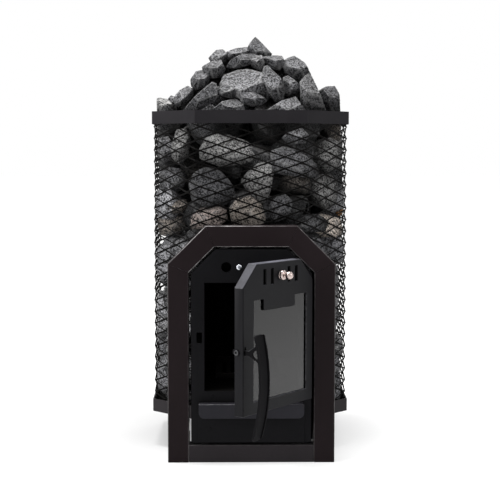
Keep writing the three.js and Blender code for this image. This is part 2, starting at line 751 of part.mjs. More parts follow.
// Grip: a bowed strip with two turned-up edges; gripLine gives y of its middle at a height
function gripLine(z) {
  const t = (z - gripMiddleZ) / (gripLength / 2);
  return face - gripStandoff + gripBow * t * t - gripLean * t;
}

function gripStrip(outer, x0, x1) {
  const heights = Array.from({ length: gripSteps + 1 }, (_, i) => gripBottom + (gripLength * i) / gripSteps);
  const insideLine = heights.map((z) => [gripLine(z) + gripThickness / 2, z]);
  const outsideLine = heights.map((z) => [gripLine(z) - outer, z]).reverse();
  return slabYZ(polygon([...insideLine, ...outsideLine]), x0, x1);
}

function handleGrip(x) {
  const [left, right] = [x - gripWidth / 2, x + gripWidth / 2];
  const web = gripStrip(gripThickness / 2, left, right);
  const leftEdge = gripStrip(gripThickness / 2 + gripLip, left, left + gripThickness);
  const rightEdge = gripStrip(gripThickness / 2 + gripLip, right - gripThickness, right);
  const corners = [gripFootRound, gripFootRound, gripHeadRound, gripHeadRound];
  const ends = rounded(left, right, gripBottom, gripTop, corners);
  const limits = slabXZ(ends, face - gripStandoff - gripBow - gripLean - overrun, face);
  return web.add(leftEdge).add(rightEdge).intersect(limits);
}

// Lever: one flat plate with the tongue, the hub, the neck and a fork that holds the grip
function latchLever(x) {
  const [x0, x1] = [x - leverThickness / 2, x + leverThickness / 2];
  const neckHalf = leverNeckHeight / 2;
  const neckEnd = face - leverNeckHeight;
  const [low, high] = [leverPivotZ - neckHalf, leverPivotZ + neckHalf];
  const seatLine = Array.from({ length: forkSteps + 1 }, (_, i) => {
    const z = leverPivotZ + forkHigh - ((forkLow + forkHigh) * i) / forkSteps;
    return [gripLine(z) + gripThickness / 2 + seat, z];
  });
  const forkLine = [[hubY, low], [hubY, high], [neckEnd, high], ...seatLine, [neckEnd, low]];
  const hole = new THREE.Shape();
  const holeY = gripLine(leverPivotZ) + gripThickness;
  hole.absellipse(holeY, leverPivotZ, forkHoleDepth / 2, forkHoleHeight / 2, 0, Math.PI * 2, false, 0);
  const tongueEnd = face + tongueReach;
  const tongue = block(x0, x1, hubY, tongueEnd, leverPivotZ - tongueHalf, leverPivotZ + tongueHalf);
  const hub = barX(hubY, leverPivotZ, leverHubRadius, x0, x1);
  const pivotHole = barX(hubY, leverPivotZ, boltRadius + running, x0 - overrun, x1 + overrun);
  const fork = slabYZ(polygon(forkLine), x0, x1).subtract(slabYZ(hole, x0 - overrun, x1 + overrun));
  return fork.add(tongue).add(hub).subtract(pivotHole);
}

// Bolt that carries the lever, with a socket in its head and a nut behind the lever
function latchBolt(x) {
  const headEnd = freeEdge - seat;
  const headStart = headEnd - boltHeadHeight;
  const nutStart = x + leverThickness / 2 + seat;
  const nutEnd = nutStart + boltHeadHeight;
  const head = barX(hubY, leverPivotZ, boltHeadRadius, headStart, headEnd);
  const socket = barX(hubY, leverPivotZ, boltSocketRadius, headStart - overrun, headStart + boltSocketDepth);
  const shank = barX(hubY, leverPivotZ, boltRadius, headStart + boltSocketDepth, nutEnd);
  const nut = barX(hubY, leverPivotZ, boltHeadRadius, nutStart, nutEnd);
  return head.add(shank).add(nut).subtract(socket);
}

function addDoor(group) {
  const door = new THREE.Group();
  door.position.set(pivotX, pivotY, 0);
  door.rotation.z = THREE.MathUtils.degToRad(doorOpenAngle);
  group.add(door);

  addPiece(door, "door_panel", doorPanel(), blackPaint);

  const glass = block(
    windowLeft - glassLap, windowRight + glassLap, glassFront, glassFront + glassThickness,
    windowBottom - glassLap, windowTop + glassLap,
  );
  addPiece(door, "door_glass", glass, smokedGlass);

  const [linerStart, linerEnd] = [linerFront - overrun, linerBack + overrun];
  const linerLine = shoulders(freeEdge, hingeEdge, linerBottom, doorTop, doorChamfer, linerInset);
  const liner = slabXZ(polygon(linerLine), linerFront, linerBack);
  const linerWindow = block(windowLeft, windowRight, linerStart, linerEnd, windowBottom, windowTop);
  const linerVents = ventSlots(linerStart, linerEnd);
  addPiece(door, "door_liner", liner.subtract(linerWindow).subtract(linerVents), fireSteel);

  const [sealFront, sealBack] = [linerBack + seat, back + sealProud];
  const sealTop = mouthTop + sealLap + sealWidth;
  const [sealLeft, sealRight] = [freeEdge + linerInset, hingeEdge - linerInset];
  const sealOuter = shoulders(sealLeft, sealRight, linerBottom, sealTop, sealCorner);
  const sealInner = shoulders(sealLeft, sealRight, linerBottom + sealWidth, sealTop, sealCorner, sealWidth);
  const sealHollow = slabXZ(polygon(sealInner), sealFront - overrun, sealBack + overrun);
  const seal = slabXZ(polygon(sealOuter), sealFront, sealBack).subtract(sealHollow);
  addPiece(door, "door_seal", seal, ropeSeal);

  const shutterFront = face + doorSheet + seat;
  const shutterBack = shutterFront + shutterThickness;
  const shutterReach = ventOuter + ventWidth / 2 + shutterMargin;
  const shutter = block(
    knobX - shutterReach - shutterTravel, knobX + shutterReach, shutterFront, shutterBack,
    ventCentreZ - ventHeight / 2 - shutterMargin, ventCentreZ + ventHeight / 2 + shutterMargin / 2,
  );
  const shutterVents = ventSlots(shutterFront - overrun, shutterBack + overrun);
  addPiece(door, "air_shutter", shutter.subtract(shutterVents), fireSteel);
  addPiece(door, "air_knob", airKnob(), polishedKnob);

  const lever = freeEdge + leverFromEdge;
  addPiece(door, "latch_lever", latchLever(lever), blackPaint);
  addPiece(door, "handle_grip", handleGrip(lever), blackPaint);
  addPiece(door, "latch_bolt", latchBolt(lever), brightSteel);

  const rollerStart = lever + leverThickness / 2 + seat;
  const rollerY = face + tongueReach - rollerRadius;
  const roller = barX(rollerY, leverPivotZ, rollerRadius, rollerStart, rollerStart + rollerLength);
  addPiece(door, "latch_roller", roller, brightSteel);
}

addDoor(stove);

// Cage: octagonal bands, a base pan and eight expanded-metal panels, the front one on top of the fuel tunnel
function octagon(inset) {
  const half = cageHalf - inset;
  const cut = cageChamfer - inset * miter;
  const corners = [
    [-half + cut, -half], [half - cut, -half], [half, -half + cut], [half, half - cut],
    [half - cut, half], [-half + cut, half], [-half, half - cut], [-half, -half + cut],
  ];
  return corners.map(([x, y]) => [x, y + cageMiddle]);
}

function octagonRing(z0, z1) {
  const inside = slabXY(polygon(octagon(bandSheet)), z0 - overrun, z1 + overrun);
  return slabXY(polygon(octagon(0)), z0, z1).subtract(inside);
}

// Flat panel of expanded metal in x and z from its lower left corner, its rows of diamonds half a step apart
function netPanel(length, height) {
  const columns = Math.max(1, Math.round(length / netLong));
  const rows = Math.round(height / netShort);
  const [stepX, stepZ] = [length / columns, height / rows];
  const side = Math.hypot(stepX / 2, stepZ / 2);
  const open = 1 - (netStrand / 2) * (side / ((stepX / 2) * (stepZ / 2)));
  const [reachX, reachZ] = [(stepX / 2) * open, (stepZ / 2) * open];
  const edgeReach = reachZ * (1 - netMargin / reachX);
  const holes = [];
  const cut = (corners) => {
    holes.push(extruded(polygon(corners), netSheet + 2 * overrun));
  };
  for (let row = 1; row < 2 * rows; row += 1) {
    const z = (row * stepZ) / 2;
    const shift = row % 2 ? stepX / 2 : 0;
    for (let x = shift; x <= length + netGap; x += stepX) {
      if (x < reachX) {
        cut([[netMargin, z - edgeReach], [reachX, z], [netMargin, z + edgeReach]]);
      } else if (x > length - reachX) {
        const end = length - netMargin;
        cut([[end, z + edgeReach], [length - reachX, z], [end, z - edgeReach]]);
      } else {
        cut([[x - reachX, z], [x, z - reachZ], [x + reachX, z], [x, z + reachZ]]);
      }
    }
  }
  const diamonds = mergeGeometries(holes);
  diamonds.applyMatrix4(facingFront);
  diamonds.translate(0, netSheet + overrun, 0);
  return block(0, length, 0, netSheet, 0, height).subtract(solid(diamonds));
}

function addCage(group) {
  addPiece(group, "top_band", octagonRing(rimBottom, rimTop), blackPaint);
  const boxWay = ashBoxOuter + seat;
  const bandTop = bottomBandZ + bandHeight;
  const bandWay = block(
    -boxWay, boxWay, cageFront - overrun, cageFront + bandSheet + overrun,
    bottomBandZ - overrun, bandTop + overrun,
  );
  addPiece(group, "bottom_band", octagonRing(bottomBandZ, bandTop).subtract(bandWay), blackPaint);

  const panEdge = octagon(netFace + netSheet + seat);
  const panWay = block(
    -boxWay, boxWay, cageFront - overrun, ashBoxRear + seat, panZ - overrun, panTop + overrun,
  );
  addPiece(group, "base_pan", slabXY(polygon(panEdge), panZ, panTop).subtract(panWay), fireSteel);

  const names = ["front", "front_right", "right", "rear_right", "rear", "rear_left", "left", "front_left"];
  const corners = octagon(netFace);
  const trim = netSheet * Math.tan(Math.PI / 8) + netGap / 2;
  names.forEach((name, i) => {
    const start = new THREE.Vector2(...corners[i]);
    const end = new THREE.Vector2(...corners[(i + 1) % corners.length]);
    const run = end.sub(start);
    const netBottom = (name === "front" ? tunnelTop : bottomBandZ) + seat;
    const panel = netPanel(run.length() - 2 * trim, rimTop - seat - netBottom);
    const mesh = addPiece(group, `net_${name}`, panel, netSteel);
    start.addScaledVector(run.normalize(), trim);
    mesh.position.set(start.x, start.y, netBottom);
    mesh.rotation.z = run.angle();
  });
}

addCage(stove);

// Legs under the pan, and the stays from the front legs into the portal's posts
function addLegs(group) {
  const stayX = portalInner + portalSheet + seat;
  const frontLegX = stayX + stayThickness + seat + legSize / 2;
  const frontLegY = cageFront + frontLegX + legSize - facetHalf + frontLegInset;
  const rearLegX = cageHalf - rearLegFromSide;
  const rearLegY = cageRear - rearLegX - legSize + facetHalf - rearLegInset;
  const places = [
    ["front_left", -frontLegX, frontLegY], ["front_right", frontLegX, frontLegY],
    ["rear_left", -rearLegX, rearLegY], ["rear_right", rearLegX, rearLegY],
  ];
  for (const [name, x, y] of places) {
    const half = legSize / 2;
    const tube = block(x - half, x + half, y - half, y + half, 0, panZ);
    const hollow = block(
      x - half + legSheet, x + half - legSheet, y - half + legSheet, y + half - legSheet,
      footSheet, panZ + overrun,
    );
    const foot = block(x - footSize / 2, x + footSize / 2, y - footSize / 2, y + footSize / 2, 0, footSheet);
    addPiece(group, `leg_${name}`, tube.add(foot).subtract(hollow), blackPaint);
  }
  for (const [name, side] of [["left", -1], ["right", 1]]) {
    const [near, far] = [side * stayX, side * (stayX + stayThickness)];
    const stay = block(
      Math.min(near, far), Math.max(near, far), portalFront + portalSheet + seat, frontLegY + legSize / 2,
      stayBottom, stayTop,
    );
    addPiece(group, `portal_stay_${name}`, stay, blackPaint);
  }
}

addLegs(stove);

// Stones: piles of rough convex stones that fill the cage and heap up over the rim
function seeded(seed) {
  let state = seed;
  return () => {
    state = (state * 16807) % 2147483647;
    return state / 2147483647;
  };
}

const goldenAngle = Math.PI * (3 - Math.sqrt(5));

function stone(centre, reach, random) {
  const turn = new THREE.Euler(random() - 0.5, random() - 0.5, random() * Math.PI);
  const points = [];
  for (let i = 0; i < stonePoints; i += 1) {
    const v = 1 - (2 * (i + 0.5)) / stonePoints;
    const ring = Math.sqrt(1 - v * v);
    const angle = i * goldenAngle + random();
    const point = new THREE.Vector3(ring * Math.cos(angle), ring * Math.sin(angle), v);
    point.multiplyScalar(stoneLeast + stoneRough * random());
    points.push(point.applyEuler(turn).multiply(reach).add(centre));
  }
  return solid(new ConvexGeometry(points));
}

// Closes the sealed voids that are left between touching stones
function withoutVoids(body) {
  const shells = body.decompose().filter((shell) => shell.volume() > 0);
  return shells.reduce((all, one) => all.add(one));
}

// Fills a region with stones on a jittered lattice, each lapping its neighbours, where a stone is wanted
function pile(region, { size, pitch }, seed, wanted) {
  const random = seeded(seed);
  const { min, max } = region.boundingBox();
  const counts = min.map((low, axis) => Math.max(1, Math.round((max[axis] - low) / pitch)));
  const cell = min.map((low, axis) => (max[axis] - low) / counts[axis]);
  const lap = size / pitch;
  const reach = new THREE.Vector3(...cell.map((step, axis) => (step / 2) * (counts[axis] > 1 ? lap : 1)));
  const stones = [];
  for (let ix = 0; ix < counts[0]; ix += 1) {
    for (let iy = 0; iy < counts[1]; iy += 1) {
      for (let iz = 0; iz < counts[2]; iz += 1) {
        const centre = new THREE.Vector3(...[ix, iy, iz].map((n, axis) => (
          min[axis] + (n + 0.5 + (random() - 0.5) * stoneJitter) * cell[axis]
        )));
        if (wanted(centre)) {
          stones.push(stone(centre, reach, random));
        }
      }
    }
  }
  return withoutVoids(stones.reduce((all, one) => all.add(one)).intersect(region));
}

function addStones(group) {
  const plan = polygon(octagon(pileInset));
  const heapTop = rimTop + heapHeight;
  const around = slabXY(plan, panTop + stoneClear, fireboxTop);
  const above = slabXY(plan, fireboxTop + fireboxWall + stoneClear, heapTop);
  const part = (body, x0, x1, y0, y1, z0 = 0, z1 = heapTop) => body.intersect(block(x0, x1, y0, y1, z0, z1));
  const side = fireboxHalf + stoneClear;
  const far = cageWidth;
  const pileHalf = facetHalf * pileReach;
  const [pileFront, pileRear] = [fireboxFront - stoneClear, fireboxRear + stoneClear];
  const corner = pileHalf + stoneClear;
  const frontSpace = block(-corner, corner, cageFront, fireboxFront, 0, heapTop);
  const rearSpace = block(-corner, corner, fireboxRear, cageRear, 0, heapTop);
  const beside = around.subtract(frontSpace).subtract(rearSpace);
  const overTunnel = tunnelTop + seat + stoneClear;
  const flueSide = flueRadius + flueFlange + stoneClear;
  const [flueFront, flueRear] = [flueY - flueSide, flueY + flueSide];
  const behindFront = flueFront + stoneClear;
  const rearHalf = flueSide - stoneClear;
  const packed = () => true;
  const underHeap = ({ x, y, z }) => {
    const reach = Math.hypot(x, y - cageMiddle) / cageHalf;
    return z + heapStones.pitch / 4 < rimTop + heapHeight * (1 - reach * reach);
  };
  const besidePiles = [
    ["left", part(beside, -far, -side, cageFront, cageRear), 11],
    ["right", part(beside, side, far, cageFront, cageRear), 23],
    ["rear", part(around, -pileHalf, pileHalf, pileRear, cageRear), 37],
    ["front", part(around, -pileHalf, pileHalf, cageFront, pileFront, overTunnel), 41],
    ["crown_rear", part(above, -rearHalf, rearHalf, flueRear, cageRear, 0, rimTop), 97],
  ];
  for (const [name, region, seed] of besidePiles) {
    addPiece(group, `stones_${name}`, pile(region, packedStones, seed, packed), greyStone);
  }
  const crownPiles = [
    ["crown_front", part(above, -far, far, cageFront, flueFront), 53],
    ["crown_left", part(above, -far, -flueSide, behindFront, cageRear), 67],
    ["crown_right", part(above, flueSide, far, behindFront, cageRear), 79],
  ];
  for (const [name, region, seed] of crownPiles) {
    const inCage = pile(part(region, -far, far, cageFront, cageRear, 0, rimTop), packedStones, seed, packed);
    const overRim = part(region, -far, far, cageFront, cageRear, rimTop - heapSink);
    const heap = pile(overRim, heapStones, seed, underHeap);
    addPiece(group, `stones_${name}`, withoutVoids(inCage.add(heap)), greyStone);
  }
}

addStones(stove);

export default stove;
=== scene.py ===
import json
import math
import random

import bmesh
import bpy
import numpy as np
from mathutils import Euler, Matrix, Vector, noise
from mathutils.kdtree import KDTree

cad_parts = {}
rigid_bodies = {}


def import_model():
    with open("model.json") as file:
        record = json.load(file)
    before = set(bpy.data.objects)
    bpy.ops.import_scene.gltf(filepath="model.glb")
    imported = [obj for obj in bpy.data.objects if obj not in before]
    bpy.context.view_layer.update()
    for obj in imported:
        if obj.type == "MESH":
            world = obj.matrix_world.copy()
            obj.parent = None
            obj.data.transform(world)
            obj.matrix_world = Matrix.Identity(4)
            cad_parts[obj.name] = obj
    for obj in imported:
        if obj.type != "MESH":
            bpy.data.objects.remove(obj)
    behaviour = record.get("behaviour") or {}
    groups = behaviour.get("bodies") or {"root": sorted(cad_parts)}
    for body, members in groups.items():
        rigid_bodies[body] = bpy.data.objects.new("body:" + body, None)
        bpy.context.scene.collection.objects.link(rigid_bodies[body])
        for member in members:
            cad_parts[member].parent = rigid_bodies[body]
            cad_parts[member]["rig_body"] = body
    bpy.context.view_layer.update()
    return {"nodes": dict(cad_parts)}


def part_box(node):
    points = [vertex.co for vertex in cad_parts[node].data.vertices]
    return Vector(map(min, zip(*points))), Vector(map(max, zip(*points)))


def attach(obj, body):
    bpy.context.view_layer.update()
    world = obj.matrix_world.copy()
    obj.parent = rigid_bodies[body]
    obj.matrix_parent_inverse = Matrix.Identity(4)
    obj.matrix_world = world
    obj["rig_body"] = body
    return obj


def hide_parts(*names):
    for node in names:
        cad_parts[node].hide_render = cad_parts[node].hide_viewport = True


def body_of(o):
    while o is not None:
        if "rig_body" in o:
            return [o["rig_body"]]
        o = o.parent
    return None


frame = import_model()
scene = bpy.context.scene
scene.view_settings.view_transform = "Standard"
print("frame loaded:", len(frame["nodes"]), "nodes")

# camera, floor and light
shot = {
    "place": (-0.0523, -3.0445, 0.7503),  # metres
    "focal": 1258.5,  # in pixels of a 500 pixel frame
    "pitchDown": 4.359,  # degrees
    "yawRight": 0.919,
    "roll": 0.073,
}
studio = {
    "skyLevel": 0.27,  # soft light from all round
    "floorColor": (0.45, 0.45, 0.45, 1),
    "floorShade": (-0.26, 0.4, 0),  # middle of the painted soft shadow on the floor behind the stove
    "floorLift": (0.32, 0.86),  # brings the lit floor up to white for the viewer, near the stove and far from it; the lower near value paints the soft shadow
    "floorNear": (0.1, 0.9),  # metres from that middle
    "lamps": (  # place, aim, size across and up, watts
        ("leftLamp", (-2.3, -1.4, 1.7), (0, 0.1, 0.5), 1.4, 2.0, 40),
        ("rightLamp", (2.4, -1.5, 1.8), (0, 0.1, 0.5), 1.4, 2.0, 19),
        ("topLamp", (-0.3, 0.1, 3.0), (0, 0.2, 0.9), 1.1, 1.1, 74),
        ("edgeLamp", (-1.3, 0.4, 2.7), (0, 0, 0.5), 0.7, 0.7, 34),
        ("rearLamp", (0.9, 2.5, 2.2), (0, 0.3, 0.6), 1.4, 1.4, 18),
    ),
}
pitch = math.radians(90 - shot["pitchDown"])
cameraTurn = (
    Matrix.Rotation(math.radians(-shot["yawRight"]), 3, "Z")
    @ Matrix.Rotation(pitch, 3, "X")
    @ Matrix.Rotation(math.radians(shot["roll"]), 3, "Z")
)


def photoRay(across, down):
    return cameraTurn @ Vector(((across - 250) / shot["focal"], (250 - down) / shot["focal"], -1))


def photoPoint(across, down, depth):
    ray = photoRay(across, down)
    place = Vector(shot["place"])
    return place + ray * ((depth - place.y) / ray.y)


def aimAt(obj, target):
    obj.rotation_euler = (Vector(target) - obj.location).to_track_quat("-Z", "Y").to_euler()


def makeCamera():
    cam = bpy.data.cameras.new("photoCamera")
    obj = bpy.data.objects.new("photoCamera", cam)
    scene.collection.objects.link(obj)
    cam.sensor_width = 36
    cam.lens = 36 * shot["focal"] / 500
    obj.location = shot["place"]
    obj.rotation_euler = cameraTurn.to_euler()
    scene.camera = obj


def makeLamp(name, place, target, across, up, watts):
    lamp = bpy.data.lights.new(name, "AREA")
    lamp.shape = "RECTANGLE"
    lamp.size, lamp.size_y = across, up
    lamp.energy = watts
    obj = bpy.data.objects.new(name, lamp)
    scene.collection.objects.link(obj)
    obj.location = place
    aimAt(obj, target)


# shader helpers: a node with its values set or linked, and the small ones used most
def addNode(tree, kind, values=None, **settings):
    made = tree.nodes.new(kind)
    for key, value in settings.items():
        setattr(made, key, value)
    for key, value in (values or {}).items():
        if isinstance(value, bpy.types.NodeSocket):
            tree.links.new(value, made.inputs[key])
        else:
            made.inputs[key].default_value = value
    return made


def calc(tree, operation, first, second=0.0):
    return addNode(tree, "ShaderNodeMath", {0: first, 1: second}, operation=operation).outputs[0]


def blendColors(tree, factor, first, second, blend="MIX"):
    made = addNode(tree, "ShaderNodeMix", {0: factor, 6: first, 7: second}, data_type="RGBA", blend_type=blend)
    return made.outputs[2]


def addRamp(tree, factor, *stops):
    made = addNode(tree, "ShaderNodeValToRGB", {0: factor})
    marks = made.color_ramp.elements
    while len(marks) < len(stops):
        marks.new(0.5)
    for mark, (place, tone) in zip(marks, stops):
        mark.position = place
        mark.color = (tone, tone, tone, 1)
    return made.outputs[0]


def spread(tree, value, low, high):
    return addNode(tree, "ShaderNodeMapRange", {0: value, 3: low, 4: high}).outputs[0]


def addNoise(tree, where, scale, detail=3, roughness=0.55):
    values = {"Vector": where, "Scale": scale, "Detail": detail, "Roughness": roughness}
    return addNode(tree, "ShaderNodeTexNoise", values).outputs[0]


def makeGroup(name, inputs, outputs):
    tree = bpy.data.node_groups.new(name, "ShaderNodeTree")
    for label, value in inputs.items():
        tree.interface.new_socket(label, in_out="INPUT", socket_type="NodeSocketFloat").default_value = value
    for label, kind in outputs.items():
        tree.interface.new_socket(label, in_out="OUTPUT", socket_type="NodeSocket" + kind)
    where = addNode(tree, "ShaderNodeTexCoord").outputs["Object"]
    return tree, addNode(tree, "NodeGroupInput"), addNode(tree, "NodeGroupOutput"), where


def useGroup(tree, name, values):
    made = addNode(tree, "ShaderNodeGroup", node_tree=bpy.data.node_groups[name])
    for key, value in values.items():
        made.inputs[key].default_value = value
    return made.outputs


def makeStudio():
    world = bpy.data.worlds.new("studioSky")
    scene.world = world
    world.use_nodes = True
    tree = world.node_tree
    tree.nodes.clear()
    seen = seenRays(tree)
    sky = addNode(tree, "ShaderNodeBackground", {"Color": (1, 1, 1, 1), "Strength": studio["skyLevel"]})
    white = addNode(tree, "ShaderNodeBackground", {"Color": (1, 1, 1, 1), "Strength": 1})
    mix = addNode(tree, "ShaderNodeMixShader", {0: seen, 1: sky.outputs[0], 2: white.outputs[0]})
    addNode(tree, "ShaderNodeOutputWorld", {"Surface": mix.outputs[0]})

    bm = bmesh.new()
    bmesh.ops.create_grid(bm, x_segments=1, y_segments=1, size=40)
    floor = bpy.data.objects.new("studioFloor", bpy.data.meshes.new("studioFloor"))
    bm.to_mesh(floor.data)
    bm.free()
    scene.collection.objects.link(floor)
    mat = bpy.data.materials.new("studioFloor")
    mat.use_nodes = True
    tree = mat.node_tree
    paper = tree.nodes["Principled BSDF"]
    paper.inputs["Base Color"].default_value = studio["floorColor"]
    paper.inputs["Roughness"].default_value = 0.9
    paper.inputs["Specular IOR Level"].default_value = 0.1
    where = addNode(tree, "ShaderNodeTexCoord").outputs["Object"]
    # painted shadow: the lift is lower near the shade's middle, so the floor is darker there
    away = addNode(tree, "ShaderNodeVectorMath", {0: where, 1: studio["floorShade"]}, operation="DISTANCE").outputs["Value"]
    near, far = studio["floorNear"]
    level = addNode(
        tree, "ShaderNodeMapRange", {0: away, 1: near, 2: far, 3: studio["floorLift"][0], 4: studio["floorLift"][1]},
        interpolation_type="SMOOTHSTEP",
    ).outputs[0]
    lift = calc(tree, "MULTIPLY", seenRays(tree), level)
    glow = addNode(tree, "ShaderNodeEmission", {"Strength": lift})
    add = addNode(tree, "ShaderNodeAddShader", {0: paper.outputs[0], 1: glow.outputs[0]})
    tree.links.new(add.outputs[0], tree.nodes["Material Output"].inputs["Surface"])
    floor.data.materials.append(mat)

    for lamp in studio["lamps"]:
        makeLamp(*lamp)


def seenRays(tree):
    path = addNode(tree, "ShaderNodeLightPath").outputs
    glossy = calc(tree, "MAXIMUM", path["Is Camera Ray"], path["Is Glossy Ray"])
    return calc(tree, "MAXIMUM", glossy, path["Is Transmission Ray"])


makeCamera()
makeStudio()
print("camera and studio set")

# shader groups shared by the finishes
def makePaintSkin():
    tree, given, out, where = makeGroup(
        "paintSkin", {"Grit": 900.0, "Patch": 6.0}, {"Patchy": "Float", "Grit": "Float"}
    )
    tree.links.new(addNoise(tree, where, given.outputs["Patch"], 5, 0.62), out.inputs["Patchy"])
    tree.links.new(addNoise(tree, where, given.outputs["Grit"], 2, 0.6), out.inputs["Grit"])


# edge colour along eased edges, as wear and as a painted highlight
def makeEdgeWearAndHighlight():
    tree, given, out, where = makeGroup("edgeWearAndHighlight", {"Amount": 0.5, "Chips": 70.0}, {"WearAndHighlight": "Float"})
    edge = addNode(tree, "ShaderNodeAttribute", attribute_name="edgeWearAndHighlightMask").outputs["Fac"]
    chips = addRamp(tree, addNoise(tree, where, given.outputs["Chips"], 4, 0.65), (0.36, 0.25), (0.62, 1.0))
    wornAndLit = calc(tree, "MULTIPLY", calc(tree, "MULTIPLY", edge, chips), given.outputs["Amount"])
    tree.links.new(wornAndLit, out.inputs["WearAndHighlight"])


# dust on upward faces; on the door and the stones it also serves as painted top light
def makeDustAndTopLightFall():
    tree, given, out, where = makeGroup("dustAndTopLightFall", {"Amount": 0.3, "Clouds": 14.0}, {"DustAndTopLight": "Float"})
    normal = addNode(tree, "ShaderNodeNewGeometry").outputs["Normal"]
    upward = addNode(tree, "ShaderNodeSeparateXYZ", {0: normal}).outputs["Z"]
    lying = addRamp(tree, upward, (0.35, 0.0), (0.95, 1.0))
    clouds = addRamp(tree, addNoise(tree, where, given.outputs["Clouds"], 6, 0.7), (0.3, 0.15), (0.7, 1.0))
    dustAndTopLight = calc(tree, "MULTIPLY", calc(tree, "MULTIPLY", lying, clouds), given.outputs["Amount"])
    tree.links.new(dustAndTopLight, out.inputs["DustAndTopLight"])


def makeStoneGrain():
    tree, given, out, where = makeGroup(
        "stoneGrain",
        {"Crystals": 300.0, "Veins": 26.0, "Contrast": 1.0},
        {"Speckle": "Float", "Mottle": "Float", "Height": "Float"},
    )
    cells = addNode(tree, "ShaderNodeTexVoronoi", {"Vector": where, "Scale": given.outputs["Crystals"]})
    grain = addNode(tree, "ShaderNodeSeparateColor", {0: cells.outputs["Color"]}).outputs[0]
    fine = addNoise(tree, where, calc(tree, "MULTIPLY", given.outputs["Crystals"], 0.55), 3, 0.7)
    both = calc(tree, "ADD", calc(tree, "MULTIPLY", grain, 0.5), calc(tree, "MULTIPLY", fine, 0.5))
    centred = calc(tree, "MULTIPLY", calc(tree, "SUBTRACT", both, 0.5), given.outputs["Contrast"])
    speckle = addRamp(tree, calc(tree, "ADD", centred, 0.5), (0.26, 0.0), (0.5, 0.46), (0.74, 1.0))
    tree.links.new(speckle, out.inputs["Speckle"])
    mottle = addNoise(tree, where, given.outputs["Veins"], 6, 0.65)
    tree.links.new(mottle, out.inputs["Mottle"])
    broken = addNoise(tree, where, calc(tree, "MULTIPLY", given.outputs["Veins"], 2.4), 8, 0.68)
    height = calc(tree, "ADD", calc(tree, "MULTIPLY", broken, 0.8), calc(tree, "MULTIPLY", fine, 0.2))
    tree.links.new(height, out.inputs["Height"])


makePaintSkin()
makeEdgeWearAndHighlight()
makeDustAndTopLightFall()
makeStoneGrain()


# finishes
def newFinish(name, roughness, specular, metallic=0.0):
    mat = bpy.data.materials.new(name)
    mat.use_nodes = True
    shader = mat.node_tree.nodes["Principled BSDF"]
    shader.inputs["Roughness"].default_value = roughness
    shader.inputs["Specular IOR Level"].default_value = specular
    shader.inputs["Metallic"].default_value = metallic
    return mat, mat.node_tree, shader


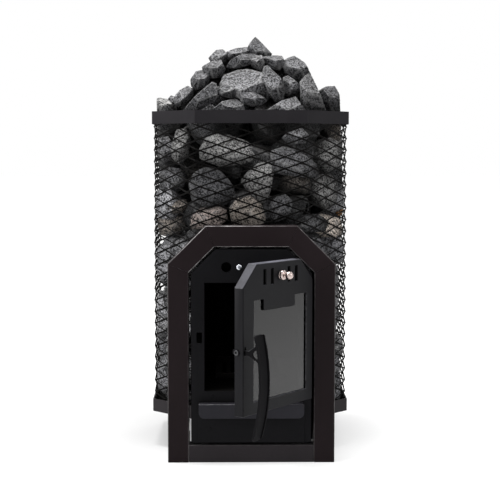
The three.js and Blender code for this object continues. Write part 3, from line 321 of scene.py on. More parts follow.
paints = {  # deep and pale are the two ends of the patchy colour; the edge colour shows on edges as wear and as a painted highlight, the dust colour on upward faces as dust and, on the door, as painted top light
    "portalPaint": {
        # painted highlight: the near-white edge colour draws light lines along the portal's eased edges
        "deep": (0.0105, 0.0064, 0.0074, 1), "pale": (0.0165, 0.0112, 0.0126, 1), "wornAndLit": (0.85, 0.82, 0.82, 1),
        "dustAndTopLight": (0.06, 0.056, 0.055, 1), "rough": (0.42, 0.56), "specular": 0.085,
        "patch": 5.0, "grit": 1100.0, "bump": 0.16, "wearAndHighlight": 0.95, "dustAndTopLightAmount": 0.1,
    },
    # painted light: a lighter copy of the portal paint for the bottom rail and bottom band
    "railPaintLit": {
        "deep": (0.0235, 0.0198, 0.0222, 1), "pale": (0.033, 0.0288, 0.0316, 1), "wornAndLit": (0.36, 0.34, 0.34, 1),
        "dustAndTopLight": (0.08, 0.076, 0.075, 1), "rough": (0.42, 0.56), "specular": 0.1,
        "patch": 5.0, "grit": 1100.0, "bump": 0.16, "wearAndHighlight": 0.95, "dustAndTopLightAmount": 0.1,
    },
    "blackPaint": {
        "deep": (0.0048, 0.0047, 0.0055, 1), "pale": (0.0082, 0.008, 0.0094, 1), "wornAndLit": (0.3, 0.3, 0.32, 1),
        "dustAndTopLight": (0.05, 0.048, 0.052, 1), "rough": (0.38, 0.5), "specular": 0.06,
        "patch": 6.5, "grit": 1250.0, "bump": 0.14, "wearAndHighlight": 0.9, "dustAndTopLightAmount": 0.08,
    },
    # painted light: a lighter copy of the black paint for the door, which faces the lamps; its bluish dust colour is a
    # painted highlight on the upper chamfer
    "doorPaintLit": {
        "deep": (0.0092, 0.0091, 0.0104, 1), "pale": (0.014, 0.0138, 0.0158, 1), "wornAndLit": (0.3, 0.3, 0.32, 1),
        "dustAndTopLight": (0.2, 0.2, 0.236, 1), "rough": (0.38, 0.5), "specular": 0.08,
        "patch": 6.5, "grit": 1250.0, "bump": 0.14, "wearAndHighlight": 0.9, "dustAndTopLightAmount": 0.75,
    },
    "bandPaint": {
        "deep": (0.018, 0.0166, 0.019, 1), "pale": (0.0266, 0.0246, 0.0276, 1), "wornAndLit": (0.2, 0.19, 0.2, 1),
        "dustAndTopLight": (0.08, 0.075, 0.078, 1), "rough": (0.4, 0.54), "specular": 0.08,
        "patch": 6.5, "grit": 1250.0, "bump": 0.16, "wearAndHighlight": 0.8, "dustAndTopLightAmount": 0.12,
    },
    "gripPaint": {
        "deep": (0.02, 0.0193, 0.024, 1), "pale": (0.0295, 0.0287, 0.035, 1), "wornAndLit": (0.4, 0.4, 0.42, 1),
        "dustAndTopLight": (0.07, 0.068, 0.074, 1), "rough": (0.36, 0.48), "specular": 0.1,
        "patch": 6.5, "grit": 1250.0, "bump": 0.14, "wearAndHighlight": 0.9, "dustAndTopLightAmount": 0.15,
    },
    "handlePaint": {
        "deep": (0.0066, 0.0064, 0.0072, 1), "pale": (0.0114, 0.011, 0.0122, 1), "wornAndLit": (0.16, 0.16, 0.17, 1),
        "dustAndTopLight": (0.03, 0.029, 0.031, 1), "rough": (0.5, 0.64), "specular": 0.03,
        "patch": 8.0, "grit": 900.0, "bump": 0.2, "wearAndHighlight": 0.8, "dustAndTopLightAmount": 0.06,
    },
    "netSteel": {
        "deep": (0.0042, 0.004, 0.0039, 1), "pale": (0.0105, 0.0099, 0.0096, 1), "wornAndLit": (0.03, 0.03, 0.03, 1),
        "dustAndTopLight": (0.02, 0.019, 0.018, 1), "rough": (0.5, 0.66), "specular": 0.035,
        "patch": 18.0, "grit": 900.0, "bump": 0.22, "wearAndHighlight": 0.2, "dustAndTopLightAmount": 0.05,
    },
    "fireSteel": {
        "deep": (0.0016, 0.0015, 0.0015, 1), "pale": (0.0052, 0.0049, 0.0048, 1), "wornAndLit": (0.04, 0.038, 0.036, 1),
        "dustAndTopLight": (0.03, 0.028, 0.026, 1), "rough": (0.55, 0.8), "specular": 0.04,
        "patch": 9.0, "grit": 480.0, "bump": 0.3, "wearAndHighlight": 0.3, "dustAndTopLightAmount": 0.2,
    },
    "castIron": {
        "deep": (0.008, 0.0075, 0.0072, 1), "pale": (0.024, 0.022, 0.0205, 1), "wornAndLit": (0.07, 0.064, 0.06, 1),
        "dustAndTopLight": (0.12, 0.112, 0.105, 1), "rough": (0.6, 0.8), "specular": 0.15,
        "patch": 22.0, "grit": 330.0, "bump": 0.6, "wearAndHighlight": 0.4, "dustAndTopLightAmount": 0.4,
    },
}


def makePaint(name, look):
    mat, tree, shader = newFinish(name, 0.5, look["specular"])
    skin = useGroup(tree, "paintSkin", {"Grit": look["grit"], "Patch": look["patch"]})
    wearAndHighlight = useGroup(tree, "edgeWearAndHighlight", {"Amount": look["wearAndHighlight"], "Chips": look["patch"] * 11})
    dustAndTopLight = useGroup(tree, "dustAndTopLightFall", {"Amount": look["dustAndTopLightAmount"], "Clouds": look["patch"] * 2})
    patchy = addRamp(tree, skin["Patchy"], (0.32, 0.0), (0.68, 1.0))
    tone = blendColors(tree, patchy, look["deep"], look["pale"])
    tone = blendColors(tree, wearAndHighlight["WearAndHighlight"], tone, look["wornAndLit"])
    tone = blendColors(tree, dustAndTopLight["DustAndTopLight"], tone, look["dustAndTopLight"])
    tree.links.new(tone, shader.inputs["Base Color"])
    tree.links.new(spread(tree, patchy, *look["rough"]), shader.inputs["Roughness"])
    bump = addNode(tree, "ShaderNodeBump", {"Height": skin["Grit"], "Strength": look["bump"], "Distance": 0.0005})
    tree.links.new(bump.outputs[0], shader.inputs["Normal"])
    return mat


metals = {
    "brightSteel": {"deep": (0.42, 0.43, 0.46, 1), "pale": (0.66, 0.68, 0.73, 1), "rough": (0.2, 0.34), "grit": 700.0},
    "polishedKnob": {"deep": (0.4, 0.325, 0.3, 1), "pale": (0.52, 0.44, 0.42, 1), "rough": (0.16, 0.28), "grit": 260.0},
    "boltSteel": {"deep": (0.035, 0.035, 0.037, 1), "pale": (0.085, 0.085, 0.088, 1), "rough": (0.2, 0.34), "grit": 600.0},
    "dullSteel": {"deep": (0.035, 0.035, 0.037, 1), "pale": (0.075, 0.075, 0.078, 1), "rough": (0.3, 0.46), "grit": 600.0},
    "rollerSteel": {"deep": (0.34, 0.335, 0.33, 1), "pale": (0.52, 0.51, 0.5, 1), "rough": (0.28, 0.42), "grit": 500.0},
}


def makeMetal(name, look):
    mat, tree, shader = newFinish(name, 0.3, 0.5, 1.0)
    skin = useGroup(tree, "paintSkin", {"Grit": look["grit"], "Patch": 90.0})
    dustAndTopLight = useGroup(tree, "dustAndTopLightFall", {"Amount": 0.12, "Clouds": 60.0})
    patchy = addRamp(tree, skin["Patchy"], (0.3, 0.0), (0.7, 1.0))
    tone = blendColors(tree, patchy, look["deep"], look["pale"])
    tone = blendColors(tree, dustAndTopLight["DustAndTopLight"], tone, (0.2, 0.19, 0.18, 1))
    tree.links.new(tone, shader.inputs["Base Color"])
    tree.links.new(spread(tree, skin["Grit"], *look["rough"]), shader.inputs["Roughness"])
    bump = addNode(tree, "ShaderNodeBump", {"Height": skin["Grit"], "Strength": 0.05, "Distance": 0.0003})
    tree.links.new(bump.outputs[0], shader.inputs["Normal"])
    return mat


def makeGlass():
    mat, tree, shader = newFinish("smokedGlass", 0.03, 0.5)
    shader.inputs["Transmission Weight"].default_value = 1
    shader.inputs["IOR"].default_value = 1.44
    skin = useGroup(tree, "paintSkin", {"Grit": 400.0, "Patch": 9.0})
    smoke = addRamp(tree, skin["Patchy"], (0.3, 0.0), (0.75, 1.0))
    tone = blendColors(tree, smoke, (0.07, 0.068, 0.072, 1), (0.045, 0.043, 0.044, 1))
    tree.links.new(tone, shader.inputs["Base Color"])
    tree.links.new(spread(tree, smoke, 0.02, 0.06), shader.inputs["Roughness"])
    return mat


def makeRope():
    mat, tree, shader = newFinish("ropeSeal", 0.85, 0.2)
    skin = useGroup(tree, "paintSkin", {"Grit": 1400.0, "Patch": 120.0})
    fibre = addRamp(tree, skin["Patchy"], (0.3, 0.0), (0.7, 1.0))
    tone = blendColors(tree, fibre, (0.03, 0.03, 0.031, 1), (0.11, 0.108, 0.106, 1))
    tree.links.new(tone, shader.inputs["Base Color"])
    tree.links.new(spread(tree, skin["Grit"], 0.75, 0.95), shader.inputs["Roughness"])
    bump = addNode(tree, "ShaderNodeBump", {"Height": skin["Grit"], "Strength": 0.6, "Distance": 0.0006})
    tree.links.new(bump.outputs[0], shader.inputs["Normal"])
    return mat


def makeStone():
    mat, tree, shader = newFinish("stoveStone", 0.8, 0.3)
    grain = useGroup(tree, "stoneGrain", {"Crystals": 330.0, "Veins": 24.0, "Contrast": 1.3})
    wearAndHighlight = useGroup(tree, "edgeWearAndHighlight", {"Amount": 0.7, "Chips": 60.0})
    dustAndTopLight = useGroup(tree, "dustAndTopLightFall", {"Amount": 0.16, "Clouds": 30.0})
    tint = addNode(tree, "ShaderNodeAttribute", attribute_name="stoneTintAndShade").outputs["Color"]
    shade = calc(tree, "MULTIPLY", spread(tree, grain["Speckle"], 0.12, 2.2), spread(tree, grain["Mottle"], 0.5, 1.45))
    tone = blendColors(tree, 1.0, tint, shade, "MULTIPLY")
    # painted highlight: a light grey along the stone's ridges
    tone = blendColors(tree, wearAndHighlight["WearAndHighlight"], tone, (0.42, 0.42, 0.42, 1))
    # dust and painted top light on the stone's upward faces
    tone = blendColors(tree, dustAndTopLight["DustAndTopLight"], tone, (0.3, 0.29, 0.28, 1))
    tree.links.new(tone, shader.inputs["Base Color"])
    tree.links.new(spread(tree, grain["Speckle"], 0.9, 0.62), shader.inputs["Roughness"])
    bump = addNode(tree, "ShaderNodeBump", {"Height": grain["Height"], "Strength": 0.9, "Distance": 0.009})
    tree.links.new(bump.outputs[0], shader.inputs["Normal"])
    return mat


finishes = {name: makePaint(name, look) for name, look in paints.items()}
finishes.update({name: makeMetal(name, look) for name, look in metals.items()})
finishes.update({"smokedGlass": makeGlass(), "ropeSeal": makeRope(), "stoveStone": makeStone()})
slotFinish = {  # the record's slots and the finish that each one takes
    "portal_paint": "portalPaint", "black_paint": "blackPaint", "net_steel": "netSteel",
    "fire_steel": "fireSteel", "cast_iron": "castIron", "bright_steel": "brightSteel",
    "polished_knob": "polishedKnob", "smoked_glass": "smokedGlass", "rope_seal": "ropeSeal",
    "stove_stone": "stoveStone",
}
slotOf = {name: obj.data.materials[0].name for name, obj in frame["nodes"].items()}
for name, obj in frame["nodes"].items():
    obj.data.materials[0] = finishes[slotFinish[slotOf[name]]]
print("finishes made:", len(finishes))


# pieces: a mesh becomes an object that stands for its CAD nodes and moves with their body
def makeObject(name, bm, finish, smoothTo):
    mesh = bpy.data.meshes.new(name)
    bm.to_mesh(mesh)
    bm.free()
    mesh.materials.append(finish)
    mesh.shade_smooth()
    mesh.set_sharp_from_angle(angle=math.radians(smoothTo))
    obj = bpy.data.objects.new(name, mesh)
    scene.collection.objects.link(obj)
    return obj


def standFor(obj, *nodes):
    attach(obj, body_of(frame["nodes"][nodes[0]])[0])
    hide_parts(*nodes)
    return obj


doorPlace = Matrix.Translation((0.135, -0.0365, 0)) @ Matrix.Rotation(math.radians(52.5), 4, "Z")

# steel: copies of the CAD sheets with their outside corners eased and marked for wear and painted edge highlights
softEdges = {
    "corner": 35,  # degrees, sharper edges are eased
    "width": {
        "portal_stay": 0.0008, "portal": 0.0024, "front_plate": 0.0012, "door_panel": 0.002, "door_liner": 0.0005,
        "latch_lever": 0.0006, "handle_grip": 0.0018, "ash_drawer": 0.0013, "top_band": 0.0007,
        "bottom_band": 0.0007, "leg": 0.0012, "hinge_lug": 0.0006, "fire_grate": 0.0016,
        "flame_baffle": 0.0012, "air_shutter": 0.0003, "door_glass": 0.0006,
    },
    "otherWidth": 0.0008,
    "rim": {"front_plate": 0.0012},  # a narrower face is the rim of a sheet, and its edges are only broken
    "otherRim": 0.0032,
    "rimWidth": 0.0005,
    "facing": ((-0.4, 0, 0.92), (0.45, 0, -0.9)),  # edges that face these ways take the light edge colour, as rubbed-bare wear and as a painted highlight
    "wearAndHighlight": {
        "top_band": 0.15, "bottom_band": 0.3, "door_panel": 0.5, "latch_bolt": 0.0, "front_plate": 0.0,
        "portal_left_mitre": 1.0, "portal_top": 0.8, "portal": 0.25,
    },
    "finish": {
        "latch_bolt": "boltSteel", "latch_roller": "rollerSteel", "air_shutter": "fireSteel",
        "hinge_lug_lower": "blackPaint", "hinge_lug_upper": "blackPaint", "ash_drawer_grip": "gripPaint",
        "top_band": "bandPaint", "bottom_band": "railPaintLit", "door_panel": "doorPaintLit", "handle_grip": "handlePaint",
        "latch_lever": "handlePaint", "portal_bottom_rail": "railPaintLit",
    },
}


def byName(values, node, other):
    return next((value for start, value in values.items() if node.startswith(start)), other)


def neighbours(node):
    # the corners of each other piece of the portal, as a tree to search
    trees = []
    for name, obj in frame["nodes"].items():
        if name != node and slotOf[name] == "portal_paint":
            tree = KDTree(len(obj.data.vertices))
            for vert in obj.data.vertices:
                tree.insert(vert.co, vert.index)
            tree.balance()
            trees.append(tree)
    return trees


def isJoin(edge, trees):
    return any(all(tree.find(vert.co)[2] < 0.0009 for vert in edge.verts) for tree in trees)


def sharpEdges(bm):
    corner = math.radians(softEdges["corner"])
    return [e for e in bm.edges if e.is_manifold and e.is_convex and e.calc_face_angle(0) > corner]


def isRim(face, narrow):
    return 2 * face.calc_area() / face.calc_perimeter() < narrow


def ease(bm, edges, width):
    return bmesh.ops.bevel(
        bm, geom=edges, offset=width, offset_type="OFFSET", affect="EDGES", segments=2, profile=0.5,
        material=-1, clamp_overlap=True,
    )["faces"]


# the lever's fork is open up to its neck
forkWindow = {"depth": -0.045, "height": 0.3045, "deep": 0.0135, "high": 0.01, "from": -0.272, "to": -0.256}


def cutWindow(bm):
    blade = bmesh.new()
    made = bmesh.ops.create_cone(blade, cap_ends=True, segments=28, radius1=1, radius2=1, depth=1)["verts"]
    size = (forkWindow["high"], forkWindow["deep"], forkWindow["to"] - forkWindow["from"])
    middle = ((forkWindow["from"] + forkWindow["to"]) / 2, forkWindow["depth"], forkWindow["height"])
    bmesh.ops.scale(blade, vec=size, verts=made)
    place = doorPlace @ Matrix.Translation(middle) @ Matrix.Rotation(math.radians(90), 4, "Y")
    bmesh.ops.transform(blade, matrix=place, verts=made)
    pair = []
    for name, mesh in (("uncut", bm), ("blade", blade)):
        data = bpy.data.meshes.new(name)
        mesh.to_mesh(data)
        mesh.free()
        pair.append(bpy.data.objects.new(name, data))
        scene.collection.objects.link(pair[-1])
    cut = pair[0].modifiers.new("cut", "BOOLEAN")
    cut.operation, cut.solver, cut.object = "DIFFERENCE", "EXACT", pair[1]
    done = bpy.data.meshes.new_from_object(pair[0].evaluated_get(bpy.context.evaluated_depsgraph_get()))
    whole = bmesh.new()
    whole.from_mesh(done)
    for obj in pair:
        bpy.data.meshes.remove(obj.data)
    bpy.data.meshes.remove(done)
    return whole


def softened(node):
    bm = bmesh.new()
    bm.from_mesh(frame["nodes"][node].data)
    bmesh.ops.remove_doubles(bm, verts=bm.verts, dist=2e-6)
    bmesh.ops.dissolve_limit(bm, angle_limit=math.radians(0.4), verts=bm.verts, edges=bm.edges)
    if node == "latch_lever":
        bm = cutWindow(bm)
    narrow = byName(softEdges["rim"], node, softEdges["otherRim"])
    broad = [e for e in sharpEdges(bm) if not any(isRim(face, narrow) for face in e.link_faces)]
    if slotOf[node] == "portal_paint":
        trees = neighbours(node)
        broad = [e for e in broad if not isJoin(e, trees)]
    eased = set(ease(bm, broad, byName(softEdges["width"], node, softEdges["otherWidth"])))
    mask = bm.verts.layers.float.new("edgeWearAndHighlightMask")
    wearAndHighlight = byName(softEdges["wearAndHighlight"], node, 1.0)
    bm.normal_update()
    for edge in bm.edges:
        if all(face in eased for face in edge.link_faces):  # the crest of an eased edge
            for vert in edge.verts:
                # painted highlight: crests that face these ways get the light edge colour, which also stands for wear
                facing = max(vert.normal.dot(Vector(way)) for way in softEdges["facing"])
                vert[mask] = wearAndHighlight * min(max(1.6 * facing, 0.0), 1.0)
    eased.update(ease(bm, sharpEdges(bm), softEdges["rimWidth"]))
    for face in bm.faces:
        if face not in eased and not isRim(face, narrow):  # the flat faces keep their paint
            for vert in face.verts:
                vert[mask] = 0
    finish = softEdges["finish"].get(node, slotFinish[slotOf[node]])
    piece = makeObject(node + "_steel", bm, finishes[finish], 40)
    level = piece.modifiers.new("flatFaces", "WEIGHTED_NORMAL")
    level.keep_sharp = True
    return standFor(piece, node)


newShapes = ("net_", "stones_", "air_knob", "plate_screw", "sill_screw", "door_seal", "flue_collar")
sheets = [name for name in frame["nodes"] if not name.startswith(newShapes)]
for name in sheets:
    softened(name)
print("steel pieces eased:", len(sheets))

# expanded metal: one diamond laid out on two shifted lattices, wrapped round the eight sides of the cage
cage = {"half": 0.25, "facet": 0.139, "middle": 0.3025, "rim": 0.858}
netting = {
    "long": 0.0834,  # long way of a diamond
    "short": 0.0295,
    "strand": 0.003,
    "sheet": 0.0015,
    "tilt": 0.0026,  # each strand's upper edge stands forward by this and its lower edge back
    "inset": 0.0064,  # cage's outside to the middle of the net
    "knot": (268.0, 138.5),  # pixel where a knot of the front side shows
}
netSides = ("front", "front_right", "right", "rear_right", "rear", "rear_left", "left", "front_left")
slantOut = (cage["half"] + cage["facet"]) / math.sqrt(2)  # axis to the slanting sides
slantHalf = (cage["half"] - cage["facet"]) / math.sqrt(2)


def sideOut(index):
    return slantOut if index % 2 else cage["half"]


def sideNormal(index):
    turn = math.radians(45 * index)
    return Vector((math.sin(turn), -math.cos(turn), 0))


def diamond(bm):
    made = bmesh.ops.create_circle(bm, segments=4, radius=1, cap_ends=True)
    bmesh.ops.scale(bm, vec=(netting["long"] / 2, netting["short"] / 2, 1), verts=made["verts"])
    bmesh.ops.subdivide_edges(bm, edges=bm.edges[:], cuts=2)
    ring = bmesh.ops.inset_individual(bm, faces=bm.faces[:], thickness=netting["strand"] / 2, use_even_offset=True)
    hole = [face for face in bm.faces if face not in ring["faces"]]
    for vert in hole[0].verts:
        vert.co.z = -netting["tilt"] * vert.co.y / (netting["short"] / 2)
    bmesh.ops.delete(bm, geom=hole, context="FACES_ONLY")


def netPanel(index):
    name = "net_" + netSides[index]
    low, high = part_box(name)
    narrow = netting["inset"] * math.tan(math.radians(22.5))
    facet, slant = cage["facet"] - narrow, slantHalf - narrow
    half = slant if index % 2 else facet
    along = (index if index < 5 else index - 8) * (facet + slant)  # this side's middle, measured round the cage
    knot = photoPoint(*netting["knot"], cage["middle"] - cage["half"] + netting["inset"])
    bm = bmesh.new()
    diamond(bm)
    cell = bm.verts[:] + bm.edges[:] + bm.faces[:]
    stepX, stepZ = netting["long"] / 2, netting["short"] / 2
    firstX, lastX = (math.floor((along - half - knot.x) / stepX) - 1, math.ceil((along + half - knot.x) / stepX) + 1)
    firstZ, lastZ = math.floor((low.z - knot.z) / stepZ) - 1, math.ceil((high.z - knot.z) / stepZ) + 1
    for column in range(firstX, lastX + 1):
        for row in range(firstZ, lastZ + 1):
            if (column + row) % 2:  # holes lie half a diamond from the knots
                copy = bmesh.ops.duplicate(bm, geom=cell)["geom"]
                shift = (knot.x + column * stepX - along, knot.z + row * stepZ, 0)
                bmesh.ops.translate(bm, vec=shift, verts=[v for v in copy if isinstance(v, bmesh.types.BMVert)])
    bmesh.ops.delete(bm, geom=[v for v in cell if isinstance(v, bmesh.types.BMVert)], context="VERTS")
    bmesh.ops.remove_doubles(bm, verts=bm.verts, dist=1e-5)
    for place, away in (((half, 0, 0), (1, 0, 0)), ((-half, 0, 0), (-1, 0, 0)), ((0, low.z, 0), (0, -1, 0)), ((0, high.z, 0), (0, 1, 0))):
        everything = bm.verts[:] + bm.edges[:] + bm.faces[:]
        bmesh.ops.bisect_plane(bm, geom=everything, plane_co=place, plane_no=away, clear_outer=True)
    bmesh.ops.recalc_face_normals(bm, faces=bm.faces)
    bmesh.ops.solidify(bm, geom=bm.faces[:], thickness=netting["sheet"])
    bmesh.ops.translate(bm, vec=(0, 0, -netting["sheet"] / 2), verts=bm.verts)
    turn = Matrix.Rotation(math.radians(45 * index), 4, "Z")
    out = sideOut(index) - netting["inset"]
    place = Matrix.Translation((0, cage["middle"], 0)) @ turn @ Matrix.Translation((0, -out, 0))
    bmesh.ops.transform(bm, matrix=place @ Matrix.Rotation(math.radians(90), 4, "X"), verts=bm.verts)
    bmesh.ops.recalc_face_normals(bm, faces=bm.faces)
    return standFor(makeObject(name + "_strands", bm, finishes["netSteel"], 50), name)


for index in range(len(netSides)):
    netPanel(index)
print("net sides wrapped:", len(netSides))

# turned pieces: half a section spun round its axis
facingFront = Matrix.Rotation(math.radians(90), 4, "X")  # an axis that pointed up points at the viewer
facingLeft = Matrix.Rotation(math.radians(-90), 4, "Y")


def turnedPiece(name, section, place, finish, steps=40):
    bm = bmesh.new()
    points = [bm.verts.new((radius, 0, height)) for radius, height in section]
    line = [bm.edges.new(pair) for pair in zip(points, points[1:])]
    bmesh.ops.spin(
        bm, geom=points + line, cent=(0, 0, 0), axis=(0, 0, 1), angle=math.tau, steps=steps, use_merge=True,
    )
    bmesh.ops.remove_doubles(bm, verts=bm.verts, dist=1e-6)
    bmesh.ops.transform(bm, matrix=place, verts=bm.verts)
    bmesh.ops.recalc_face_normals(bm, faces=bm.faces)
    return makeObject(name, bm, finish, 35)


knob = {"base": 0.012, "baseMid": 0.0068, "ball": 0.010, "ballMid": 0.0233, "stem": 0.003, "neck": 0.0042}


def makeKnob():
    # heights run out of the door's outer face
    section = [(0, -0.0028), (knob["stem"], -0.0028), (knob["stem"], 0.0005), (0.0086, 0.0005), (0.0098, 0.0012)]
    for i in range(13):  # the flat bead at the foot
        turn = math.radians(-55 + i * 11)
        section.append((knob["base"] - 0.0068 + 0.0068 * math.cos(turn), knob["baseMid"] + 0.0058 * math.sin(turn)))
    section += [(knob["neck"] + 0.0012, 0.0131), (knob["neck"], 0.0148)]
    for i in range(17):  # the ball
        turn = math.radians(-58 + i * (148 / 16))
        section.append((knob["ball"] * math.cos(turn), knob["ballMid"] + knob["ball"] * math.sin(turn)))
    section[-1] = (0, knob["ballMid"] + knob["ball"])
    place = doorPlace @ Matrix.Translation((-0.1263, -0.010, 0.471)) @ facingFront
    standFor(turnedPiece("air_knob_turned", section, place, finishes["polishedKnob"], 48), "air_knob")


def buttonHead(radius, height, rim, socket, depth, shank, length):
    section = [(0, -length), (shank, -length), (shank, 0.00005), (radius, 0.00005), (radius, rim * 0.7)]
    for i in range(1, 10):
        turn = math.pi / 2 * i / 9
        across = socket + (radius - socket) * math.cos(turn)
        section.append((across, rim + (height - rim) * math.sin(turn)))
    return section + [(socket * 0.94, height - 0.0003), (socket * 0.9, height - depth * 0.5), (0, height - depth)]


def makeScrews():
    plate = buttonHead(0.007, 0.0044, 0.0014, 0.0028, 0.0088, 0.004, 0.008)
    sill = buttonHead(0.0045, 0.00068, 0.0003, 0.0018, 0.0004, 0.0025, 0.008)
    place = Matrix.Translation((-0.03, -0.0195, 0.478)) @ facingFront
    standFor(turnedPiece("plate_screw_turned", plate, place, finishes["brightSteel"]), "plate_screw")
    place = Matrix.Translation((-0.0955, -0.0195, 0.163)) @ facingFront
    standFor(turnedPiece("sill_screw_turned", sill, place, finishes["blackPaint"]), "sill_screw")
    place = Matrix.Translation(photoPoint(210, 429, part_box("ash_drawer_front")[0].y)) @ facingFront
    drawerScrew = turnedPiece("drawer_screw_turned", buttonHead(0.004, 0.0016, 0.0006, 0.0016, 0.001, 0.002, 0.0012), place, finishes["blackPaint"])
    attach(drawerScrew, "ash_drawer")


flue = {"bore": 0.0575, "outside": 0.0615, "flange": 0.0755, "foot": 0.648, "plate": 0.004, "top": 0.925, "axis": 0.3625}


def makeFlue():
    foot, plate, top, ease = flue["foot"], flue["plate"], flue["top"], 0.0009
    section = [
        (flue["bore"], foot), (flue["flange"], foot), (flue["flange"], foot + plate - ease),
        (flue["flange"] - ease, foot + plate), (flue["outside"] + 0.004, foot + plate),  # the weld starts here
        (flue["outside"] + 0.0018, foot + plate + 0.0014), (flue["outside"] + 0.0004, foot + plate + 0.004),
        (flue["outside"], foot + plate + 0.0042), (flue["outside"], top - ease), (flue["outside"] - ease, top),
        (flue["bore"] + ease, top), (flue["bore"], top - ease), (flue["bore"], foot),
    ]
    place = Matrix.Translation((0, flue["axis"], 0))
    standFor(turnedPiece("flue_collar_turned", section, place, finishes["fireSteel"], 72), "flue_collar")


def makeDamperCup():
    # a closed cup behind the round hole of the front plate
    section = [
        (0, -0.034), (0.015, -0.034), (0.0158, -0.0332), (0.0158, -0.0004), (0.0154, 0), (0.0146, 0),
        (0.0142, -0.0004), (0.0142, -0.0322), (0.0134, -0.033), (0, -0.033),
    ]
    place = Matrix.Translation((-0.061, -0.0162, 0.478)) @ facingFront
    cup = turnedPiece("damper_cup", section, place, finishes["fireSteel"])
    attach(cup, "stove")


def makeGapBar():
    # a flat bar that closes the gap beside the right post from behind; it takes the near-black fire steel as painted
    # shade for that gap
    bm = bmesh.new()
    verts = bmesh.ops.create_cube(bm, size=1)["verts"]
    bmesh.ops.scale(bm, vec=(0.0115, 0.0016, 0.43), verts=verts)
    bmesh.ops.bevel(bm, geom=bm.edges[:], offset=0.0004, affect="EDGES", segments=2, profile=0.5, material=-1)
    bmesh.ops.translate(bm, vec=(0.1512, 0.0241, 0.262), verts=bm.verts)
    bar = makeObject("gap_bar", bm, finishes["fireSteel"], 40)
    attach(bar, "stove")


makeKnob()
makeScrews()
makeGapBar()
makeFlue()
makeDamperCup()
print("knob, screws and flue turned")

# rope seal: three strands laid round a rounded oblong on the back of the door
rope = {
    "left": -0.2515, "right": -0.0135, "low": 0.1673, "high": 0.4505, "corner": 0.0155,
    "middle": 0.00855,  # depth in the closed door's own frame
    "strand": 0.0023, "wide": 0.0022, "deep": 0.0051, "turns": 46, "points": 480,
}


def ropeLine(share):
    radius = rope["corner"]
    across, up = rope["right"] - rope["left"] - 2 * radius, rope["high"] - rope["low"] - 2 * radius
    bend = radius * math.pi / 2
    left = share * (2 * across + 2 * up + 4 * bend)
    corners = (
        (rope["right"] - radius, rope["low"] + radius), (rope["right"] - radius, rope["high"] - radius),
        (rope["left"] + radius, rope["high"] - radius), (rope["left"] + radius, rope["low"] + radius),
    )
    for index, run in enumerate((up, across, up, across)):
        x, z = corners[index]
        turn = math.radians(90 * index)
        if left < run:  # straight, to the next corner
            out = Vector((math.cos(turn), math.sin(turn)))
            return Vector((x, z)) + out * radius + Vector((-out.y, out.x)) * left, out
        left -= run
        x, z = corners[(index + 1) % 4]
        if left < bend:
            out = Vector((math.cos(turn + left / radius), math.sin(turn + left / radius)))
            return Vector((x, z)) + out * radius, out
        left -= bend
    return ropeLine(0)


def makeRopeSeal():
    curve = bpy.data.curves.new("ropeStrands", "CURVE")
    curve.dimensions = "3D"
    curve.bevel_depth = rope["strand"]
    curve.bevel_resolution = 1
    for strand in range(3):
        spline = curve.splines.new("POLY")
        spline.points.add(rope["points"] - 1)
        spline.use_cyclic_u = True
        for i, point in enumerate(spline.points):
            share = i / rope["points"]
            twist = math.tau * (share * rope["turns"] + strand / 3)
            place, out = ropeLine(share)
            place = place + out * rope["wide"] * math.cos(twist)
            point.co = (place.x, rope["middle"] + rope["deep"] * math.sin(twist), place.y, 1)
    bundle = bpy.data.objects.new("ropeStrands", curve)
    scene.collection.objects.link(bundle)
    bpy.context.view_layer.update()
    bm = bmesh.new()
    bm.from_mesh(bundle.evaluated_get(bpy.context.evaluated_depsgraph_get()).to_mesh())
    bpy.data.objects.remove(bundle)
    bmesh.ops.transform(bm, matrix=doorPlace, verts=bm.verts)
    standFor(makeObject("door_seal_rope", bm, finishes["ropeSeal"], 60), "door_seal")


makeRopeSeal()
print("rope seal laid")

# stones: each one is a ball cut flat by planes, roughened, then kept clear of the steel round it
rocks = {
    "crisp": 80,  # how sharply two faces meet
    "rough": 0.04,
    "clear": 0.0105,  # cage's outside to the nearest stone
    "pan": 0.0995,
    "roof": 0.6496,
    "tunnelTop": 0.4465, "tunnelSide": 0.1205,
    "fireSide": 0.1512, "fireFront": 0.1064, "fireRear": 0.4988,
    "flueClear": 0.0632,
    "hiddenShadeFrom": (0.012, 0.038),
    "hiddenShade": 0.1,  # painted shade: how dark the hidden parts of a stone are
    "under": 0.35,  # painted shade: the underside of a stone is darker too
    "chips": 4,  # small broken faces on a stone that shows
    "heaped": 0.72,
    "cageShade": 0.92,  # painted shade: stones in the cage are darker than those of the heap
}
greys = ((0.108, 0.108, 0.114), (0.124, 0.124, 0.131), (0.088, 0.088, 0.094), (0.140, 0.140, 0.147), (0.116, 0.115, 0.119))
brown, pink, ochre, pale = (0.27, 0.238, 0.21), (0.37, 0.31, 0.286), (0.42, 0.21, 0.08), (0.23, 0.228, 0.225)
cageAxis = np.array((0, cage["middle"], 0))
sidePlanes = [(np.array(sideNormal(i)), sideOut(i) - rocks["clear"]) for i in range(8)]


class Pile:
    def __init__(self, node):
        self.node = node
        self.bm = bmesh.new()
        self.mask = self.bm.verts.layers.float.new("edgeWearAndHighlightMask")
        # stone colour with the painted shade multiplied in
        self.tint = self.bm.verts.layers.float_color.new("stoneTintAndShade")


